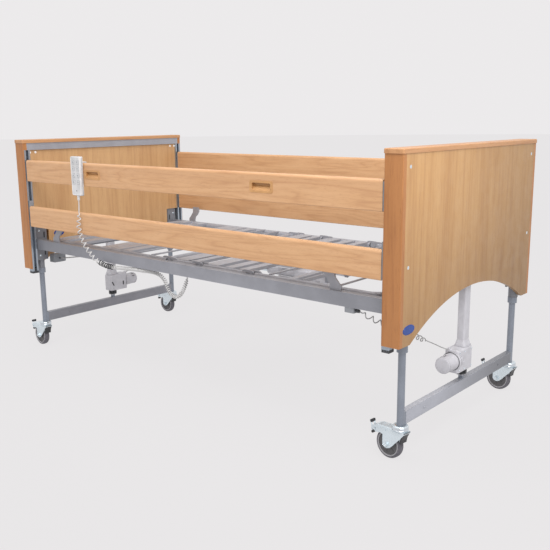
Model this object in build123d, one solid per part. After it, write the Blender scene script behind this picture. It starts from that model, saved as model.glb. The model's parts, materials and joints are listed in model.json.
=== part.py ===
from build123d import *
from math import cos, radians, sin, tan
import os

# Adjustable home-care bed: wooden bed ends on telescoping legs, a side frame in two halves,
# a mattress platform in four sections, two sliding side rails a side and a handset.
# X runs from the head end (-) to the foot end (+), Y from the near side (-) to the far side (+),
# Z is up. The origin is on the floor under the middle of the bed. Millimetres.

# ---------------------------------------------------------------- driving dimensions
END_FACE = 1107.0          # outer face of each bed end, from the middle of the bed
END_DEPTH = 70.0           # thickness of a bed end
HALF_WIDTH = 515.0         # outer face of a corner post
POST_THICK = 20.0
POST_BOTTOM = 425.0
CAP_BOTTOM = 1052.0
CAP_TOP = 1068.0
CAP_OVERHANG = 3.0
BOARD_THICK = 14.0         # outer wooden board
ARCH_APEX = 553.0          # highest point of the outer board's arched lower edge
INNER_ARCH_LIFT = 45.0       # how much higher the inner board's arch lies
ARCH_HALF_SPAN = 447.0     # where the arch meets the bottom of the board
INNER_BOARD = (1046.0, 1052.0)
CROSS_TUBE_HEIGHT = 34.0
CROSS_TUBE_DEPTH = 50.0
NOTCH_Y = 400.0            # the inner board is cut away outside this, below NOTCH_TOP
NOTCH_TOP = 641.0

LEG_X = 1074.0
LEG_Y = 439.0
LEG_RADIUS = 13.0
LEG_TOP = 680.0
LEG_BOTTOM = 134.0
SLEEVE_RADIUS = 17.0
SLEEVE_BORE = 13.5
SLEEVE_BOTTOM = 403.0
COLLAR_RADIUS = 19.0
COLLAR_BORE = 13.08
CROSSBAR_HEIGHT = 46.0
CROSSBAR_DEPTH = 25.0
CLEVIS_LIFT = 16.0           # from the crossbar's top to the column's clevis
MOTOR_Z = 267.0            # axis of the lifting motors
MOTOR_END = 152.0          # free end of a lifting motor, from the column's axis
MOTOR_RADIUS = (33.0, 30.5)
HOUSING_X = (-32.0, 27.0)  # lifting gear housing, from the column's axis
HOUSING_Y = (-32.0, 82.0)  # towards the motor
HOUSING_Z = (222.0, 312.0)
SPINDLE_BOTTOM = 516.0       # clear of the gear housing at the bed's lowest setting

GUIDE_Y = 495.0            # centre line of the rail guides
GUIDE_WIDTH = 32.0
GUIDE_DEPTH = 30.0
GUIDE_WALL = 3.0
GUIDE_SLOT = 13.0
GUIDE_BOTTOM = 412.0
GUIDE_FOOT = 402.0         # bottom of the plastic foot in each guide's end

BEAM_HALF_LENGTH = 1029.0
BEAM_FACE = 509.0          # outer face of the side rail beams
BEAM_THICK = 25.0
UPPER_BEAM = (867.0, 971.0)
LOWER_BEAM = (642.0, 744.0)
CUP_X = (-496.0, 513.0)    # middles of the finger cups
CUP_Z = 920.0
CUP_SIZE = (112.0, 44.0)
CUP_DEPTH = 16.0

RAIL_Y = (445.0, 475.0)    # side frame tube, inner and outer face
RAIL_Z = (522.0, 572.0)
RAIL_WALL = 2.5
SEAM_X = -34.0             # where the two halves of the side frame meet
STUB_GAP = 0.5             # play of a stub inside the side frame tube

SECTION_Y = 430.0          # centre line of the platform's side tubes
SECTION_Z = 566.0
TUBE_RADIUS = 12.5
TUBE_WALL = 2.0
HEAD_X = -955.0            # centre line of the backrest's end tube
FOOT_X = 985.0             # centre line of the calf section's end tube
BACK_HINGE = -80.0
THIGH_HINGE = 105.0
KNEE_HINGE = 390.0
HINGE_GAP = 22.0           # from a hinge axis to the nearest tube end
LUG_RADIUS = 19.0
LUG_THICK = 6.0
PIN_RADIUS = 5.0
PIN_CLEARANCE = 0.05
SLAT_TOP = 580.0             # the slats are let into the side tubes
SLAT_HEIGHT = 13.0
SLAT_WALL = 2.0
SLAT_HALF_LENGTH = 428.0
BACK_SLATS = ((-885.0, 60.0), (-765.0, 60.0), (-530.0, 62.0), (-462.0, 62.0), (-386.0, 56.0))
SEAT_SLATS = ((-16.0, 72.0), (58.0, 36.0))
THIGH_SLATS = ((165.0, 70.0), (262.0, 44.0), (336.0, 40.0))
BACK_RODS = (-300.0, -205.0)
CALF_RODS = (480.0, 640.0, 800.0)
ROD_RADIUS = 4.0

DRIVE_DROP = 63.7          # from the hinge axes down to the line of the push rods
BACK_SWING = 35.0          # half of the backrest's travel, degrees
THIGH_SWING = 17.5         # half of the thigh section's travel, degrees
BACK_DRIVE_Y = 70.0
THIGH_DRIVE_Y = -70.0
PUSH_ROD_RADIUS = 9.0

WHEEL_RADIUS = 53.0
WHEEL_WIDTH = 28.0
CASTER_TRAIL = 43.0
FORK_INNER = 16.0          # half the space between the fork's plates
FORK_OUTER = 19.0
RACE_RADIUS = 28.0         # ball race on top of the fork
STEM_RADIUS = 6.0
PEDAL_PIVOT = (98.0, 95.0) # along the trail, and height
# Rest direction of each caster's trail, in degrees from +X.
CASTERS = {
    "foot_near": (1, -1, 173.0),
    "foot_far": (1, 1, 176.0),
    "head_near": (-1, -1, 177.0),
    "head_far": (-1, 1, 180.0),
}

HANDSET_X = (-629.0, -558.0)
HANDSET_Z = (824.0, 1000.0)
HANDSET_Y = (-528.0, -512.0)
HANDSET_TAPER = 3.0        # how much narrower each side is at the bottom
KEY_SIZE = (20.0, 17.0)
KEY_X = (-610.0, -577.0)
KEY_Z = (975.0, 945.0, 915.0, 885.0)

CORD_RADIUS = 8.5          # outer radius of the handset's curly cord
CABLE_RADIUS = 8.0         # outer radius of the foot end's curly lifting cable
PLAIN_CABLE_RADIUS = 3.0   # the head end's plain lifting cable

END_INNER = END_FACE - END_DEPTH
CROSS_TUBE_BOTTOM = CAP_BOTTOM - CROSS_TUBE_HEIGHT


# ---------------------------------------------------------------- helpers
def block(x, y, z):
    """A box from pairs of limits, each pair in any order."""
    low = [min(pair) for pair in (x, y, z)]
    size = [max(pair) - min(pair) for pair in (x, y, z)]
    middle = [low[i] + size[i] / 2 for i in range(3)]
    return Pos(*middle) * Box(*size)


def rod(start, end, radius):
    """A round bar between two points."""
    run = Vector(*end) - Vector(*start)
    place = Plane(origin=start, z_dir=run.normalized())
    return place * Cylinder(radius, run.length, align=(Align.CENTER, Align.CENTER, Align.MIN))


def rect_tube(x, y, z, wall, along):
    """A rectangular tube, open at both ends along one axis."""
    limits = {"x": x, "y": y, "z": z}
    inner = {}
    for axis, pair in limits.items():
        low, high = min(pair), max(pair)
        inner[axis] = (low - 1, high + 1) if axis == along else (low + wall, high - wall)
    return block(x, y, z) - block(inner["x"], inner["y"], inner["z"])


def bent_tube(points, bend, radius, wall):
    """A round tube along straight runs with equal bends."""
    path = FilletPolyline(*points, radius=bend)
    start = Plane(origin=path @ 0, z_dir=path % 0)
    return sweep(start * (Circle(radius) - Circle(radius - wall)), path=path)


def plate_xz(outline, y):
    """A flat plate in an XZ plane, between two Y values."""
    low, high = min(y), max(y)
    face = Plane.XZ.offset(-low) * make_face(Polyline(*outline, close=True))
    return extrude(face, amount=-(high - low))


def bar_xz(start, end, radius, y):
    """A plate with round ends in an XZ plane."""
    run = Vector(end[0] - start[0], 0, end[1] - start[1])
    across = Vector(-run.Z, 0, run.X).normalized() * radius
    corners = [(start[0] + across.X, start[1] + across.Z), (end[0] + across.X, end[1] + across.Z),
               (end[0] - across.X, end[1] - across.Z), (start[0] - across.X, start[1] - across.Z)]
    low, high = min(y), max(y)
    shape = plate_xz(corners, y)
    for x, z in (start, end):
        shape += rod((x, low, z), (x, high, z), radius)
    return shape


def save(name, *pieces):
    """Writes one node, made of one or more separate solids."""
    solids = [solid for piece in pieces for solid in piece.solids()]
    node = solids[0] if len(solids) == 1 else Compound(children=solids)
    node.label = name
    export_step(node, f"parts/{name}.step")


def at_head(shape):
    """The head end's copy of a foot end shape."""
    return mirror(shape, about=Plane.YZ)


def at_far(shape):
    """The far side's copy of a near side shape."""
    return mirror(shape, about=Plane.XZ)


# ---------------------------------------------------------------- bed ends
def arch_cut(lift):
    """The round cut that leaves a board's arched lower edge, raised by lift on an inner board."""
    rise = ARCH_APEX - POST_BOTTOM
    radius = (ARCH_HALF_SPAN ** 2 + rise ** 2) / (2 * rise)
    centre = ARCH_APEX + lift - radius
    return rod((END_INNER - 50, 0, centre), (END_FACE + 50, 0, centre), radius)


def screw_places(x):
    """Heights and sides of the four board screws of one face."""
    return [(x, side * 470.0, z) for side in (-1, 1) for z in (688.0, 1010.0)]


def board_screw(place, inward):
    """A flat-headed screw, its head flush with the face it enters along X."""
    x, y, z = place
    return rod(place, (x + inward * 3, y, z), 6) + rod((x + inward * 2, y, z), (x + inward * 13, y, z), 2.5)


def outer_board():
    board = block((END_FACE - BOARD_THICK, END_FACE),
                  (-HALF_WIDTH + POST_THICK, HALF_WIDTH - POST_THICK), (POST_BOTTOM, CAP_BOTTOM))
    board -= arch_cut(0)
    for x, y, z in screw_places(END_FACE):
        board -= rod((x - 3, y, z), (x + 1, y, z), 6.05)
        board -= rod((x - 20, y, z), (x, y, z), 2.55)
    return board


def inner_board():
    half = GUIDE_Y - GUIDE_WIDTH / 2 - 0.3
    board = block(INNER_BOARD, (-half, half), (POST_BOTTOM, CROSS_TUBE_BOTTOM))
    board -= arch_cut(INNER_ARCH_LIFT)
    for side in (-1, 1):
        board -= block((INNER_BOARD[0] - 1, INNER_BOARD[1] + 1), (side * NOTCH_Y, side * 500),
                       (POST_BOTTOM - 1, NOTCH_TOP))
    return board


def corner_post():
    """Near foot post, rebated for the rail guide, with rounded outer corners."""
    post = block((END_INNER, END_FACE), (-HALF_WIDTH, -HALF_WIDTH + POST_THICK), (POST_BOTTOM, CAP_BOTTOM))
    outer = post.edges().filter_by(Axis.Z).group_by(Axis.Y)[0]
    post = fillet(outer, 4)
    rebate_y = GUIDE_Y + GUIDE_WIDTH / 2 + 0.3
    rebate_x = (END_INNER - 1, END_INNER + GUIDE_DEPTH + 0.3)
    return post - block(rebate_x, (-rebate_y, -HALF_WIDTH + POST_THICK + 1),
                        (POST_BOTTOM - 1, CROSS_TUBE_BOTTOM + 0.3))


def top_cap():
    cap = block((END_INNER - CAP_OVERHANG, END_FACE + CAP_OVERHANG),
                (-HALF_WIDTH - CAP_OVERHANG, HALF_WIDTH + CAP_OVERHANG), (CAP_BOTTOM, CAP_TOP))
    cap = fillet(cap.edges().filter_by(Axis.Z), 8)
    return fillet(cap.edges().group_by(Axis.Z)[-1], 4)


def rail_guide():
    """Near foot guide: an aluminium channel with its slot towards the bed's middle."""
    low, high = GUIDE_Y - GUIDE_WIDTH / 2, GUIDE_Y + GUIDE_WIDTH / 2
    x0, x1 = END_INNER, END_INNER + GUIDE_DEPTH
    z = (GUIDE_BOTTOM, CROSS_TUBE_BOTTOM)
    shape = rect_tube((x0, x1), (-high, -low), z, GUIDE_WALL, "z")
    slot = block((x0 - 1, x0 + GUIDE_WALL + 1), (-GUIDE_Y - GUIDE_SLOT / 2, -GUIDE_Y + GUIDE_SLOT / 2),
                 (GUIDE_BOTTOM - 1, CROSS_TUBE_BOTTOM + 1))
    return shape - slot


def guide_foot():
    """Plastic foot plugged into the bottom of the near foot guide."""
    low, high = GUIDE_Y - GUIDE_WIDTH / 2, GUIDE_Y + GUIDE_WIDTH / 2
    x0, x1 = END_INNER, END_INNER + GUIDE_DEPTH
    inset = GUIDE_WALL + 0.2
    foot = block((x0, x1), (-high, -low), (GUIDE_FOOT, GUIDE_BOTTOM))
    foot = fillet(foot.edges().filter_by(Axis.Z), 2)
    return foot + block((x0 + inset, x1 - inset), (-high + inset, -low - inset),
                        (GUIDE_BOTTOM - 1, GUIDE_BOTTOM + 16))


def end_frame():
    """Welded steel frame inside one bed end: cross tube, leg sleeves, flanges and stubs."""
    x1 = END_INNER + 1
    frame = rect_tube((x1, x1 + CROSS_TUBE_DEPTH), (-HALF_WIDTH + POST_THICK, HALF_WIDTH - POST_THICK),
                      (CROSS_TUBE_BOTTOM, CAP_BOTTOM), 2, "y")
    for side in (-1, 1):
        y = side * LEG_Y
        frame += rod((LEG_X, y, SLEEVE_BOTTOM), (LEG_X, y, CROSS_TUBE_BOTTOM + 1), SLEEVE_RADIUS)
        frame += block((INNER_BOARD[1] + 0.3, INNER_BOARD[1] + 6.3), (side * 409, side * 470), (462, 640))
        stub_y = (side * (RAIL_Y[0] + RAIL_WALL + STUB_GAP), side * (RAIL_Y[1] - RAIL_WALL - STUB_GAP))
        stub_z = (RAIL_Z[0] + RAIL_WALL + STUB_GAP, RAIL_Z[1] - RAIL_WALL - STUB_GAP)
        frame += block((930, INNER_BOARD[1] + 6), stub_y, stub_z)
    for side in (-1, 1):
        y = side * LEG_Y
        frame -= rod((LEG_X, y, SLEEVE_BOTTOM - 1), (LEG_X, y, CROSS_TUBE_BOTTOM - 4), SLEEVE_BORE)
        for x in (960, 1000):
            frame -= rod((x, side * 440, 540), (x, side * 456.5, 540), 4.05)
    return frame


def spindle():
    """Lifting spindle tube, fixed under the cross tube and reaching down into the column."""
    return rod((LEG_X, 0, SPINDLE_BOTTOM), (LEG_X, 0, CROSS_TUBE_BOTTOM), 11)


def leg_collar(side):
    """Plastic bush at the bottom of one sleeve."""
    y = side * LEG_Y
    low = SLEEVE_BOTTOM - 10
    collar = rod((LEG_X, y, low), (LEG_X, y, SLEEVE_BOTTOM + 14), COLLAR_RADIUS)
    collar -= rod((LEG_X, y, SLEEVE_BOTTOM), (LEG_X, y, SLEEVE_BOTTOM + 15), SLEEVE_RADIUS + 0.05)
    return collar - rod((LEG_X, y, low - 1), (LEG_X, y, SLEEVE_BOTTOM + 1), COLLAR_BORE)


# ---------------------------------------------------------------- legs and lifting columns
def leg_frame():
    """Two telescoping legs joined by a crossbar, with caster stems and the column's clevis."""
    top = LEG_BOTTOM + CROSSBAR_HEIGHT
    half = CROSSBAR_DEPTH / 2
    frame = block((LEG_X - half, LEG_X + half), (-LEG_Y, LEG_Y), (LEG_BOTTOM, top))
    for side in (-1, 1):
        frame += rod((LEG_X, side * LEG_Y, LEG_BOTTOM), (LEG_X, side * LEG_Y, LEG_TOP), LEG_RADIUS)
    frame -= block((LEG_X - half + 2, LEG_X + half - 2), (-LEG_Y + LEG_RADIUS, LEG_Y - LEG_RADIUS),
                   (LEG_BOTTOM + 2, top - 2))
    for side in (-1, 1):
        y = side * LEG_Y
        frame -= rod((LEG_X, y, top), (LEG_X, y, LEG_TOP + 1), LEG_RADIUS - 2)
        frame += rod((LEG_X, y, 105.5), (LEG_X, y, LEG_BOTTOM + 1), STEM_RADIUS)
    return frame + block((LEG_X - 9, LEG_X + 9), (-7, 7), (top - 1, top + CLEVIS_LIFT))


def lift_motor(motor_side):
    """Lifting column, gear housing and motor; motor_side is the Y direction the motor points."""
    def along(distance):
        return motor_side * distance

    column = rect_tube((LEG_X - 15, LEG_X + 15), (-21.5, 21.5), (HOUSING_Z[1] - 6, 785), 2.5, "z")
    column = fillet(column.edges().filter_by(Axis.Z).group_by(Axis.X)[0], 5)
    column = fillet(column.edges().filter_by(Axis.Z).group_by(Axis.X)[-1], 5)
    wiper = block((LEG_X - 15, LEG_X + 15), (-21.5, 21.5), (784, 792))
    wiper -= rod((LEG_X, 0, 780), (LEG_X, 0, 800), 11.4)

    housing = block([LEG_X + x for x in HOUSING_X], [along(y) for y in HOUSING_Y], HOUSING_Z)
    housing = fillet(housing.edges().filter_by(Axis.Z), 11)
    housing = fillet(housing.edges().group_by(Axis.Z)[-1], 9)
    housing = fillet(housing.edges().group_by(Axis.Z)[0], 5)
    axis_x = LEG_X - 2
    housing -= rod((axis_x, along(HOUSING_Y[1] - 8), MOTOR_Z), (axis_x, along(HOUSING_Y[1] + 1), MOTOR_Z), 37)
    low = Pos(LEG_X, 0, HOUSING_Z[1] - 1) * RectangleRounded(46, 58, 10)
    high = Pos(LEG_X, 0, HOUSING_Z[1] + 24) * RectangleRounded(30.6, 43.6, 5)
    inside = block((LEG_X - 12.5, LEG_X + 12.5), (-19, 19), (HOUSING_Z[1] - 6, HOUSING_Z[1] + 30))
    neck = loft([low, high]) - inside

    start = Plane(origin=(axis_x, along(HOUSING_Y[1] - 12), MOTOR_Z), z_dir=(0, motor_side, 0))
    length = MOTOR_END - HOUSING_Y[1] + 12
    motor = start * Cone(*MOTOR_RADIUS, length, align=(Align.CENTER, Align.CENTER, Align.MIN))
    motor = fillet(motor.edges().group_by(Axis.Y)[0 if motor_side < 0 else -1], 4)
    gear_cap = rod((LEG_X + HOUSING_X[1] - 2, along(56), 272), (LEG_X + HOUSING_X[1] + 4, along(56), 272), 12)
    plug = rod((LEG_X - 13, along(88), 312), (LEG_X + 5, along(50.5), 295.5), 7)
    clevis_bottom = LEG_BOTTOM + CROSSBAR_HEIGHT + CLEVIS_LIFT
    clevis = block((LEG_X - 12, LEG_X + 12), (-16, 16), (clevis_bottom, HOUSING_Z[0] + 1))
    return column + wiper + housing + neck + motor + gear_cap + plug + clevis


# ---------------------------------------------------------------- casters
def place_caster(shape, name):
    end, side, angle = CASTERS[name]
    return Pos(end * LEG_X, side * LEG_Y, 0) * Rot(0, 0, angle) * shape


def caster_fork():
    """Pressed fork with its ball race, axle and front guard; the trail points along +X here."""
    trail, axle = CASTER_TRAIL, WHEEL_RADIUS
    side_view = ((-31, 109), (-22, 116), (20, 118), (84, 116), (100, 110), (114, 100), (92, 84), (71, 88),
                 (61, 85), (61, 48), (54, 41), (43, 38.5), (31, 43), (15, 58), (-15, 90))
    fork = plate_xz(side_view, (-FORK_OUTER, FORK_OUTER))
    top_edges = [edge for edge in fork.edges() if abs(abs(edge.center().Y) - FORK_OUTER) < 0.1
                 and edge.center().Z > 104 and edge.center().X > -24]
    fork = fillet(top_edges, 4.5)
    hollow = ((-60, 20), (140, 20), (140, 86), (118, 96.5), (98, 106), (84, 110), (-18, 109.5), (-60, 80))
    fork -= plate_xz(hollow, (-FORK_INNER, FORK_INNER))
    guard = ((-31, 113), (-23, 113), (-12, 92), (-11, 72), (-15, 71), (-18, 88))
    fork += plate_xz(guard, (-FORK_OUTER + 2, FORK_OUTER - 2))
    race = rod((0, 0, 116), (0, 0, LEG_BOTTOM - 0.5), RACE_RADIUS)
    fork += fillet(race.edges().group_by(Axis.Z)[-1], 6)
    fork += rod((trail, -FORK_OUTER - 4, axle), (trail, FORK_OUTER + 4, axle), 4)
    for side in (-1, 1):
        fork += rod((trail, side * FORK_OUTER, axle), (trail, side * (FORK_OUTER + 4), axle), 8)
        fork -= rod((48, side * (FORK_INNER + 0.5), 103), (48, side * (FORK_OUTER + 1), 103), 2)
    fork += rod((PEDAL_PIVOT[0], -FORK_OUTER - 1.5, PEDAL_PIVOT[1]),
                (PEDAL_PIVOT[0], FORK_OUTER + 1.5, PEDAL_PIVOT[1]), 3)
    return fork - rod((0, 0, 100), (0, 0, 140), STEM_RADIUS + PIN_CLEARANCE)


def caster_wheel():
    trail, axle = CASTER_TRAIL, WHEEL_RADIUS
    half = WHEEL_WIDTH / 2
    wheel = rod((trail, -half, axle), (trail, half, axle), WHEEL_RADIUS)
    wheel = fillet(wheel.edges().filter_by(GeomType.CIRCLE), 6)
    for side in (-1, 1):
        recess = rod((trail, side * (half - 3), axle), (trail, side * (half + 1), axle), 41)
        wheel -= recess - rod((trail, side * (half - 4), axle), (trail, side * (half + 2), axle), 15)
        wheel += rod((trail, side * (half - 3), axle), (trail, side * (half + 1), axle), 10)
    return wheel - rod((trail, -20, axle), (trail, 20, axle), 4 + PIN_CLEARANCE)


def brake_pedal():
    """Rocking pedal behind the wheel: an arm between the fork's plates and two ears."""
    x, z = PEDAL_PIVOT
    half_arm = FORK_INNER - 2
    pedal = rod((x, -half_arm, z), (x, half_arm, z), 6.5)
    pedal += block((x, x + 20), (-half_arm, half_arm), (z - 6, z))
    upper_ear = ((x + 17, z - 6), (x + 22, z - 6), (x + 28, z + 24), (x + 23.5, z + 25))
    lower_ear = ((x + 17, z), (x + 22, z), (x + 18, z - 24), (x + 14, z - 23))
    pedal += plate_xz(upper_ear, (-17, 17)) + plate_xz(lower_ear, (-14, 14))
    return pedal - rod((x, -half_arm - 1, z), (x, half_arm + 1, z), 3 + PIN_CLEARANCE)


# ---------------------------------------------------------------- side frame
def side_frame(x, cross_members):
    """Two rectangular rails with cross tubes between them."""
    frame = None
    for side in (-1, 1):
        rail = rect_tube(x, (side * RAIL_Y[0], side * RAIL_Y[1]), RAIL_Z, RAIL_WALL, "x")
        frame = rail if frame is None else frame + rail
    for low, high, bottom, top in cross_members:
        frame += rect_tube((low, high), (-RAIL_Y[0], RAIL_Y[0]), (bottom, top), 2, "y")
    return frame


def head_side_frame():
    """Head half, with the stubs that enter the foot half at the seam."""
    frame = side_frame((-INNER_BOARD[1], SEAM_X), ((-225, -200, 524, 550), (-940, -915, 524, 550)))
    for side in (-1, 1):
        y = (side * (RAIL_Y[0] + RAIL_WALL + STUB_GAP), side * (RAIL_Y[1] - RAIL_WALL - STUB_GAP))
        z = (RAIL_Z[0] + RAIL_WALL + STUB_GAP, RAIL_Z[1] - RAIL_WALL - STUB_GAP)
        frame += block((SEAM_X - 60, SEAM_X + 62), y, z)
        frame += block((SEAM_X - 60, SEAM_X - 2), (side * RAIL_Y[0], side * RAIL_Y[1]), RAIL_Z)
        frame -= rod((0, side * 440, 540), (0, side * 456.5, 540), 4.05)
        for bolt_x in (-960, -1000):
            frame -= rod((bolt_x, side * 440, 540), (bolt_x, side * 449, 540), 4.05)
    return frame


def foot_side_frame():
    """Foot half, with the brackets that hold the two drives."""
    frame = side_frame((SEAM_X, INNER_BOARD[1]), ((32, 57, 524, 549), (490, 520, 524, 550),
                                                  (925, 950, 524, 550)))
    drive_z = SECTION_Z - DRIVE_DROP
    for y in (BACK_DRIVE_Y, THIGH_DRIVE_Y):
        for side in (-1, 1):
            plate = plate_xz(((488, 536), (522, 536), (505, drive_z - 13), (488, drive_z - 13)),
                             (y + side * 16, y + side * 20))
            frame += plate
        frame += rod((497, y - 18, drive_z), (497, y + 18, drive_z), PIN_RADIUS)
    for side in (-1, 1):
        for bolt_x in (0, 960, 1000):
            frame -= rod((bolt_x, side * 440, 540), (bolt_x, side * 449, 540), 4.05)
    return frame


def clamp_screw(x, side):
    """Hexagon bolt that clamps a stub inside the side frame."""
    head = Pos(x, side * 445, 540) * Rot(90 * side, 0, 0) * extrude(RegularPolygon(7, 6), 5)
    return head + rod((x, side * 444.5, 540), (x, side * 456, 540), 4)


# ---------------------------------------------------------------- mattress platform
def slats(places):
    """Folded steel slats lying across the side tubes."""
    shapes = []
    for middle, width in places:
        low, high = middle - width / 2, middle + width / 2
        length = (-SLAT_HALF_LENGTH, SLAT_HALF_LENGTH)
        slat = block((low, high), length, (SLAT_TOP - SLAT_HEIGHT, SLAT_TOP))
        slat = fillet(slat.edges().filter_by(Axis.Y).group_by(Axis.Z)[-1], 1.5)
        shapes.append(slat - block((low + SLAT_WALL, high - SLAT_WALL), (-500, 500),
                                   (SLAT_TOP - SLAT_HEIGHT - 1, SLAT_TOP - SLAT_WALL)))
    return shapes


def cross_rods(places):
    z = SECTION_Z + TUBE_RADIUS
    return [rod((x, -SECTION_Y, z), (x, SECTION_Y, z), ROD_RADIUS) for x in places]


def lug(hinge, tube_x, inner, bored):
    """Flat hinge lugs on both side tubes, the inner or the outer leaf of a hinge."""
    low = SECTION_Y - 7 if inner else SECTION_Y + 1
    shape = None
    for side in (-1, 1):
        y = (side * low, side * (low + LUG_THICK))
        leaf = bar_xz((hinge, SECTION_Z), (tube_x, SECTION_Z), LUG_RADIUS, y)
        if bored:
            leaf -= rod((hinge, side * (low - 1), SECTION_Z), (hinge, side * (low + 8), SECTION_Z),
                        PIN_RADIUS + PIN_CLEARANCE)
        shape = leaf if shape is None else shape + leaf
    return shape


def lug_room(hinge):
    """Space cut out of a section around the other leaf and the pin of a hinge."""
    space = None
    for side in (-1, 1):
        y = (side * (SECTION_Y - 13.5), side * (SECTION_Y + 13.5))
        room = rod((hinge, y[0], SECTION_Z), (hinge, y[1], SECTION_Z), HINGE_GAP)
        space = room if space is None else space + room
    return space


def hinge_pins(hinge):
    shape = None
    for side in (-1, 1):
        y = (side * (SECTION_Y - 11), side * (SECTION_Y + 12))
        pin = rod((hinge, y[0], SECTION_Z), (hinge, y[1], SECTION_Z), PIN_RADIUS)
        pin += rod((hinge, side * (SECTION_Y + 8), SECTION_Z), (hinge, y[1], SECTION_Z), 8)
        pin += rod((hinge, y[0], SECTION_Z), (hinge, side * (SECTION_Y - 8), SECTION_Z), 8)
        shape = pin if shape is None else shape + pin
    return shape


def lever(hinge, hinge_side, swing, y):
    """Slotted drive lever under a hinge; hinge_side is where its cross tube lies along X."""
    tube_x = hinge + hinge_side * 40
    lean = radians(swing) * -hinge_side
    down = Vector(sin(lean), 0, -cos(lean))
    far = DRIVE_DROP / cos(lean) + 2
    near = DRIVE_DROP - 2
    centre = Vector(hinge, 0, SECTION_Z)
    slot_end = centre + down * far
    slot_start = centre + down * near
    half_slot = PIN_RADIUS + 3.2
    shape = bar_xz((slot_start.X, slot_start.Z), (slot_end.X, slot_end.Z), half_slot + 8, y)
    shape += plate_xz(((tube_x - 12, SECTION_Z - 4), (tube_x + 12, SECTION_Z - 4),
                       (slot_start.X + 12, slot_start.Z), (slot_start.X - 12, slot_start.Z)), y)
    return shape - bar_xz((slot_start.X, slot_start.Z), (slot_end.X, slot_end.Z), half_slot,
                          (y[0] - 1, y[1] + 1))


def cross_tube(x):
    return rod((x, -SECTION_Y, SECTION_Z), (x, SECTION_Y, SECTION_Z), TUBE_RADIUS - 1)


def backrest_section():
    start = BACK_HINGE - HINGE_GAP
    shape = bent_tube(((start, -SECTION_Y, SECTION_Z), (HEAD_X, -SECTION_Y, SECTION_Z),
                       (HEAD_X, SECTION_Y, SECTION_Z), (start, SECTION_Y, SECTION_Z)),
                      60, TUBE_RADIUS, TUBE_WALL)
    tube_x = BACK_HINGE - 40
    shape += cross_tube(tube_x)
    for piece in slats(BACK_SLATS) + cross_rods(BACK_RODS):
        shape += piece
    shape -= lug_room(BACK_HINGE)
    shape += lug(BACK_HINGE, tube_x, True, True)
    for side in (-1, 1):
        y = sorted((BACK_DRIVE_Y + side * 13, BACK_DRIVE_Y + side * 18))
        shape += lever(BACK_HINGE, -1, BACK_SWING, y)
    return shape


def seat_section():
    """The fixed section; it holds the backrest's and the thigh section's hinge pins."""
    low, high = BACK_HINGE + HINGE_GAP, THIGH_HINGE - HINGE_GAP
    shape = None
    for side in (-1, 1):
        tube = rod((low, side * SECTION_Y, SECTION_Z), (high, side * SECTION_Y, SECTION_Z), TUBE_RADIUS)
        tube -= rod((low - 1, side * SECTION_Y, SECTION_Z), (high + 1, side * SECTION_Y, SECTION_Z),
                    TUBE_RADIUS - TUBE_WALL)
        tube += block((-20, 60), (side * 438, side * RAIL_Y[0]), (562, 571))
        shape = tube if shape is None else shape + tube
    for piece in slats(SEAT_SLATS):
        shape += piece
    for hinge, tube_x in ((BACK_HINGE, low + 10), (THIGH_HINGE, high - 10)):
        shape += lug(hinge, tube_x, False, False) + hinge_pins(hinge)
    return shape


def thigh_section():
    low, high = THIGH_HINGE + HINGE_GAP, KNEE_HINGE - HINGE_GAP
    shape = None
    for side in (-1, 1):
        tube = rod((low, side * SECTION_Y, SECTION_Z), (high, side * SECTION_Y, SECTION_Z), TUBE_RADIUS)
        tube -= rod((low - 1, side * SECTION_Y, SECTION_Z), (high + 1, side * SECTION_Y, SECTION_Z),
                    TUBE_RADIUS - TUBE_WALL)
        shape = tube if shape is None else shape + tube
    tube_x = THIGH_HINGE + 40
    shape += cross_tube(tube_x)
    for piece in slats(THIGH_SLATS):
        shape += piece
    shape += lug(THIGH_HINGE, low + 10, True, True)
    shape += lug(KNEE_HINGE, high - 10, False, False) + hinge_pins(KNEE_HINGE)
    for side in (-1, 1):
        y = sorted((THIGH_DRIVE_Y + side * 13, THIGH_DRIVE_Y + side * 18))
        shape += lever(THIGH_HINGE, 1, THIGH_SWING, y)
    return shape


def calf_section():
    start = KNEE_HINGE + HINGE_GAP
    shape = bent_tube(((start, -SECTION_Y, SECTION_Z), (FOOT_X, -SECTION_Y, SECTION_Z),
                       (FOOT_X, SECTION_Y, SECTION_Z), (start, SECTION_Y, SECTION_Z)),
                      60, TUBE_RADIUS, TUBE_WALL)
    for piece in cross_rods(CALF_RODS):
        shape += piece
    return shape + lug(KNEE_HINGE, start + 10, True, True)


def mattress_retainer(x, lean):
    """S-shaped plate standing on the near rail; lean is the X direction of its upper half."""
    foot = RAIL_Z[1]
    outline = ((x - 24, foot), (x + 24, foot), (x + 25 - lean * 2, foot + 14), (x + 20 + lean * 8, foot + 30),
               (x + 22 + lean * 22, foot + 44), (x + 25 + lean * 32, foot + 62), (x + 25 + lean * 32, foot + 86),
               (x - 24 + lean * 32, foot + 86), (x - 24 + lean * 32, foot + 58),
               (x - 22 + lean * 16, foot + 38), (x - 24, foot + 18))
    plate = plate_xz(outline, (-461, -456))
    return plate + block((x - 20, x + 20), (-461, -449), (foot, foot + 3))


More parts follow.
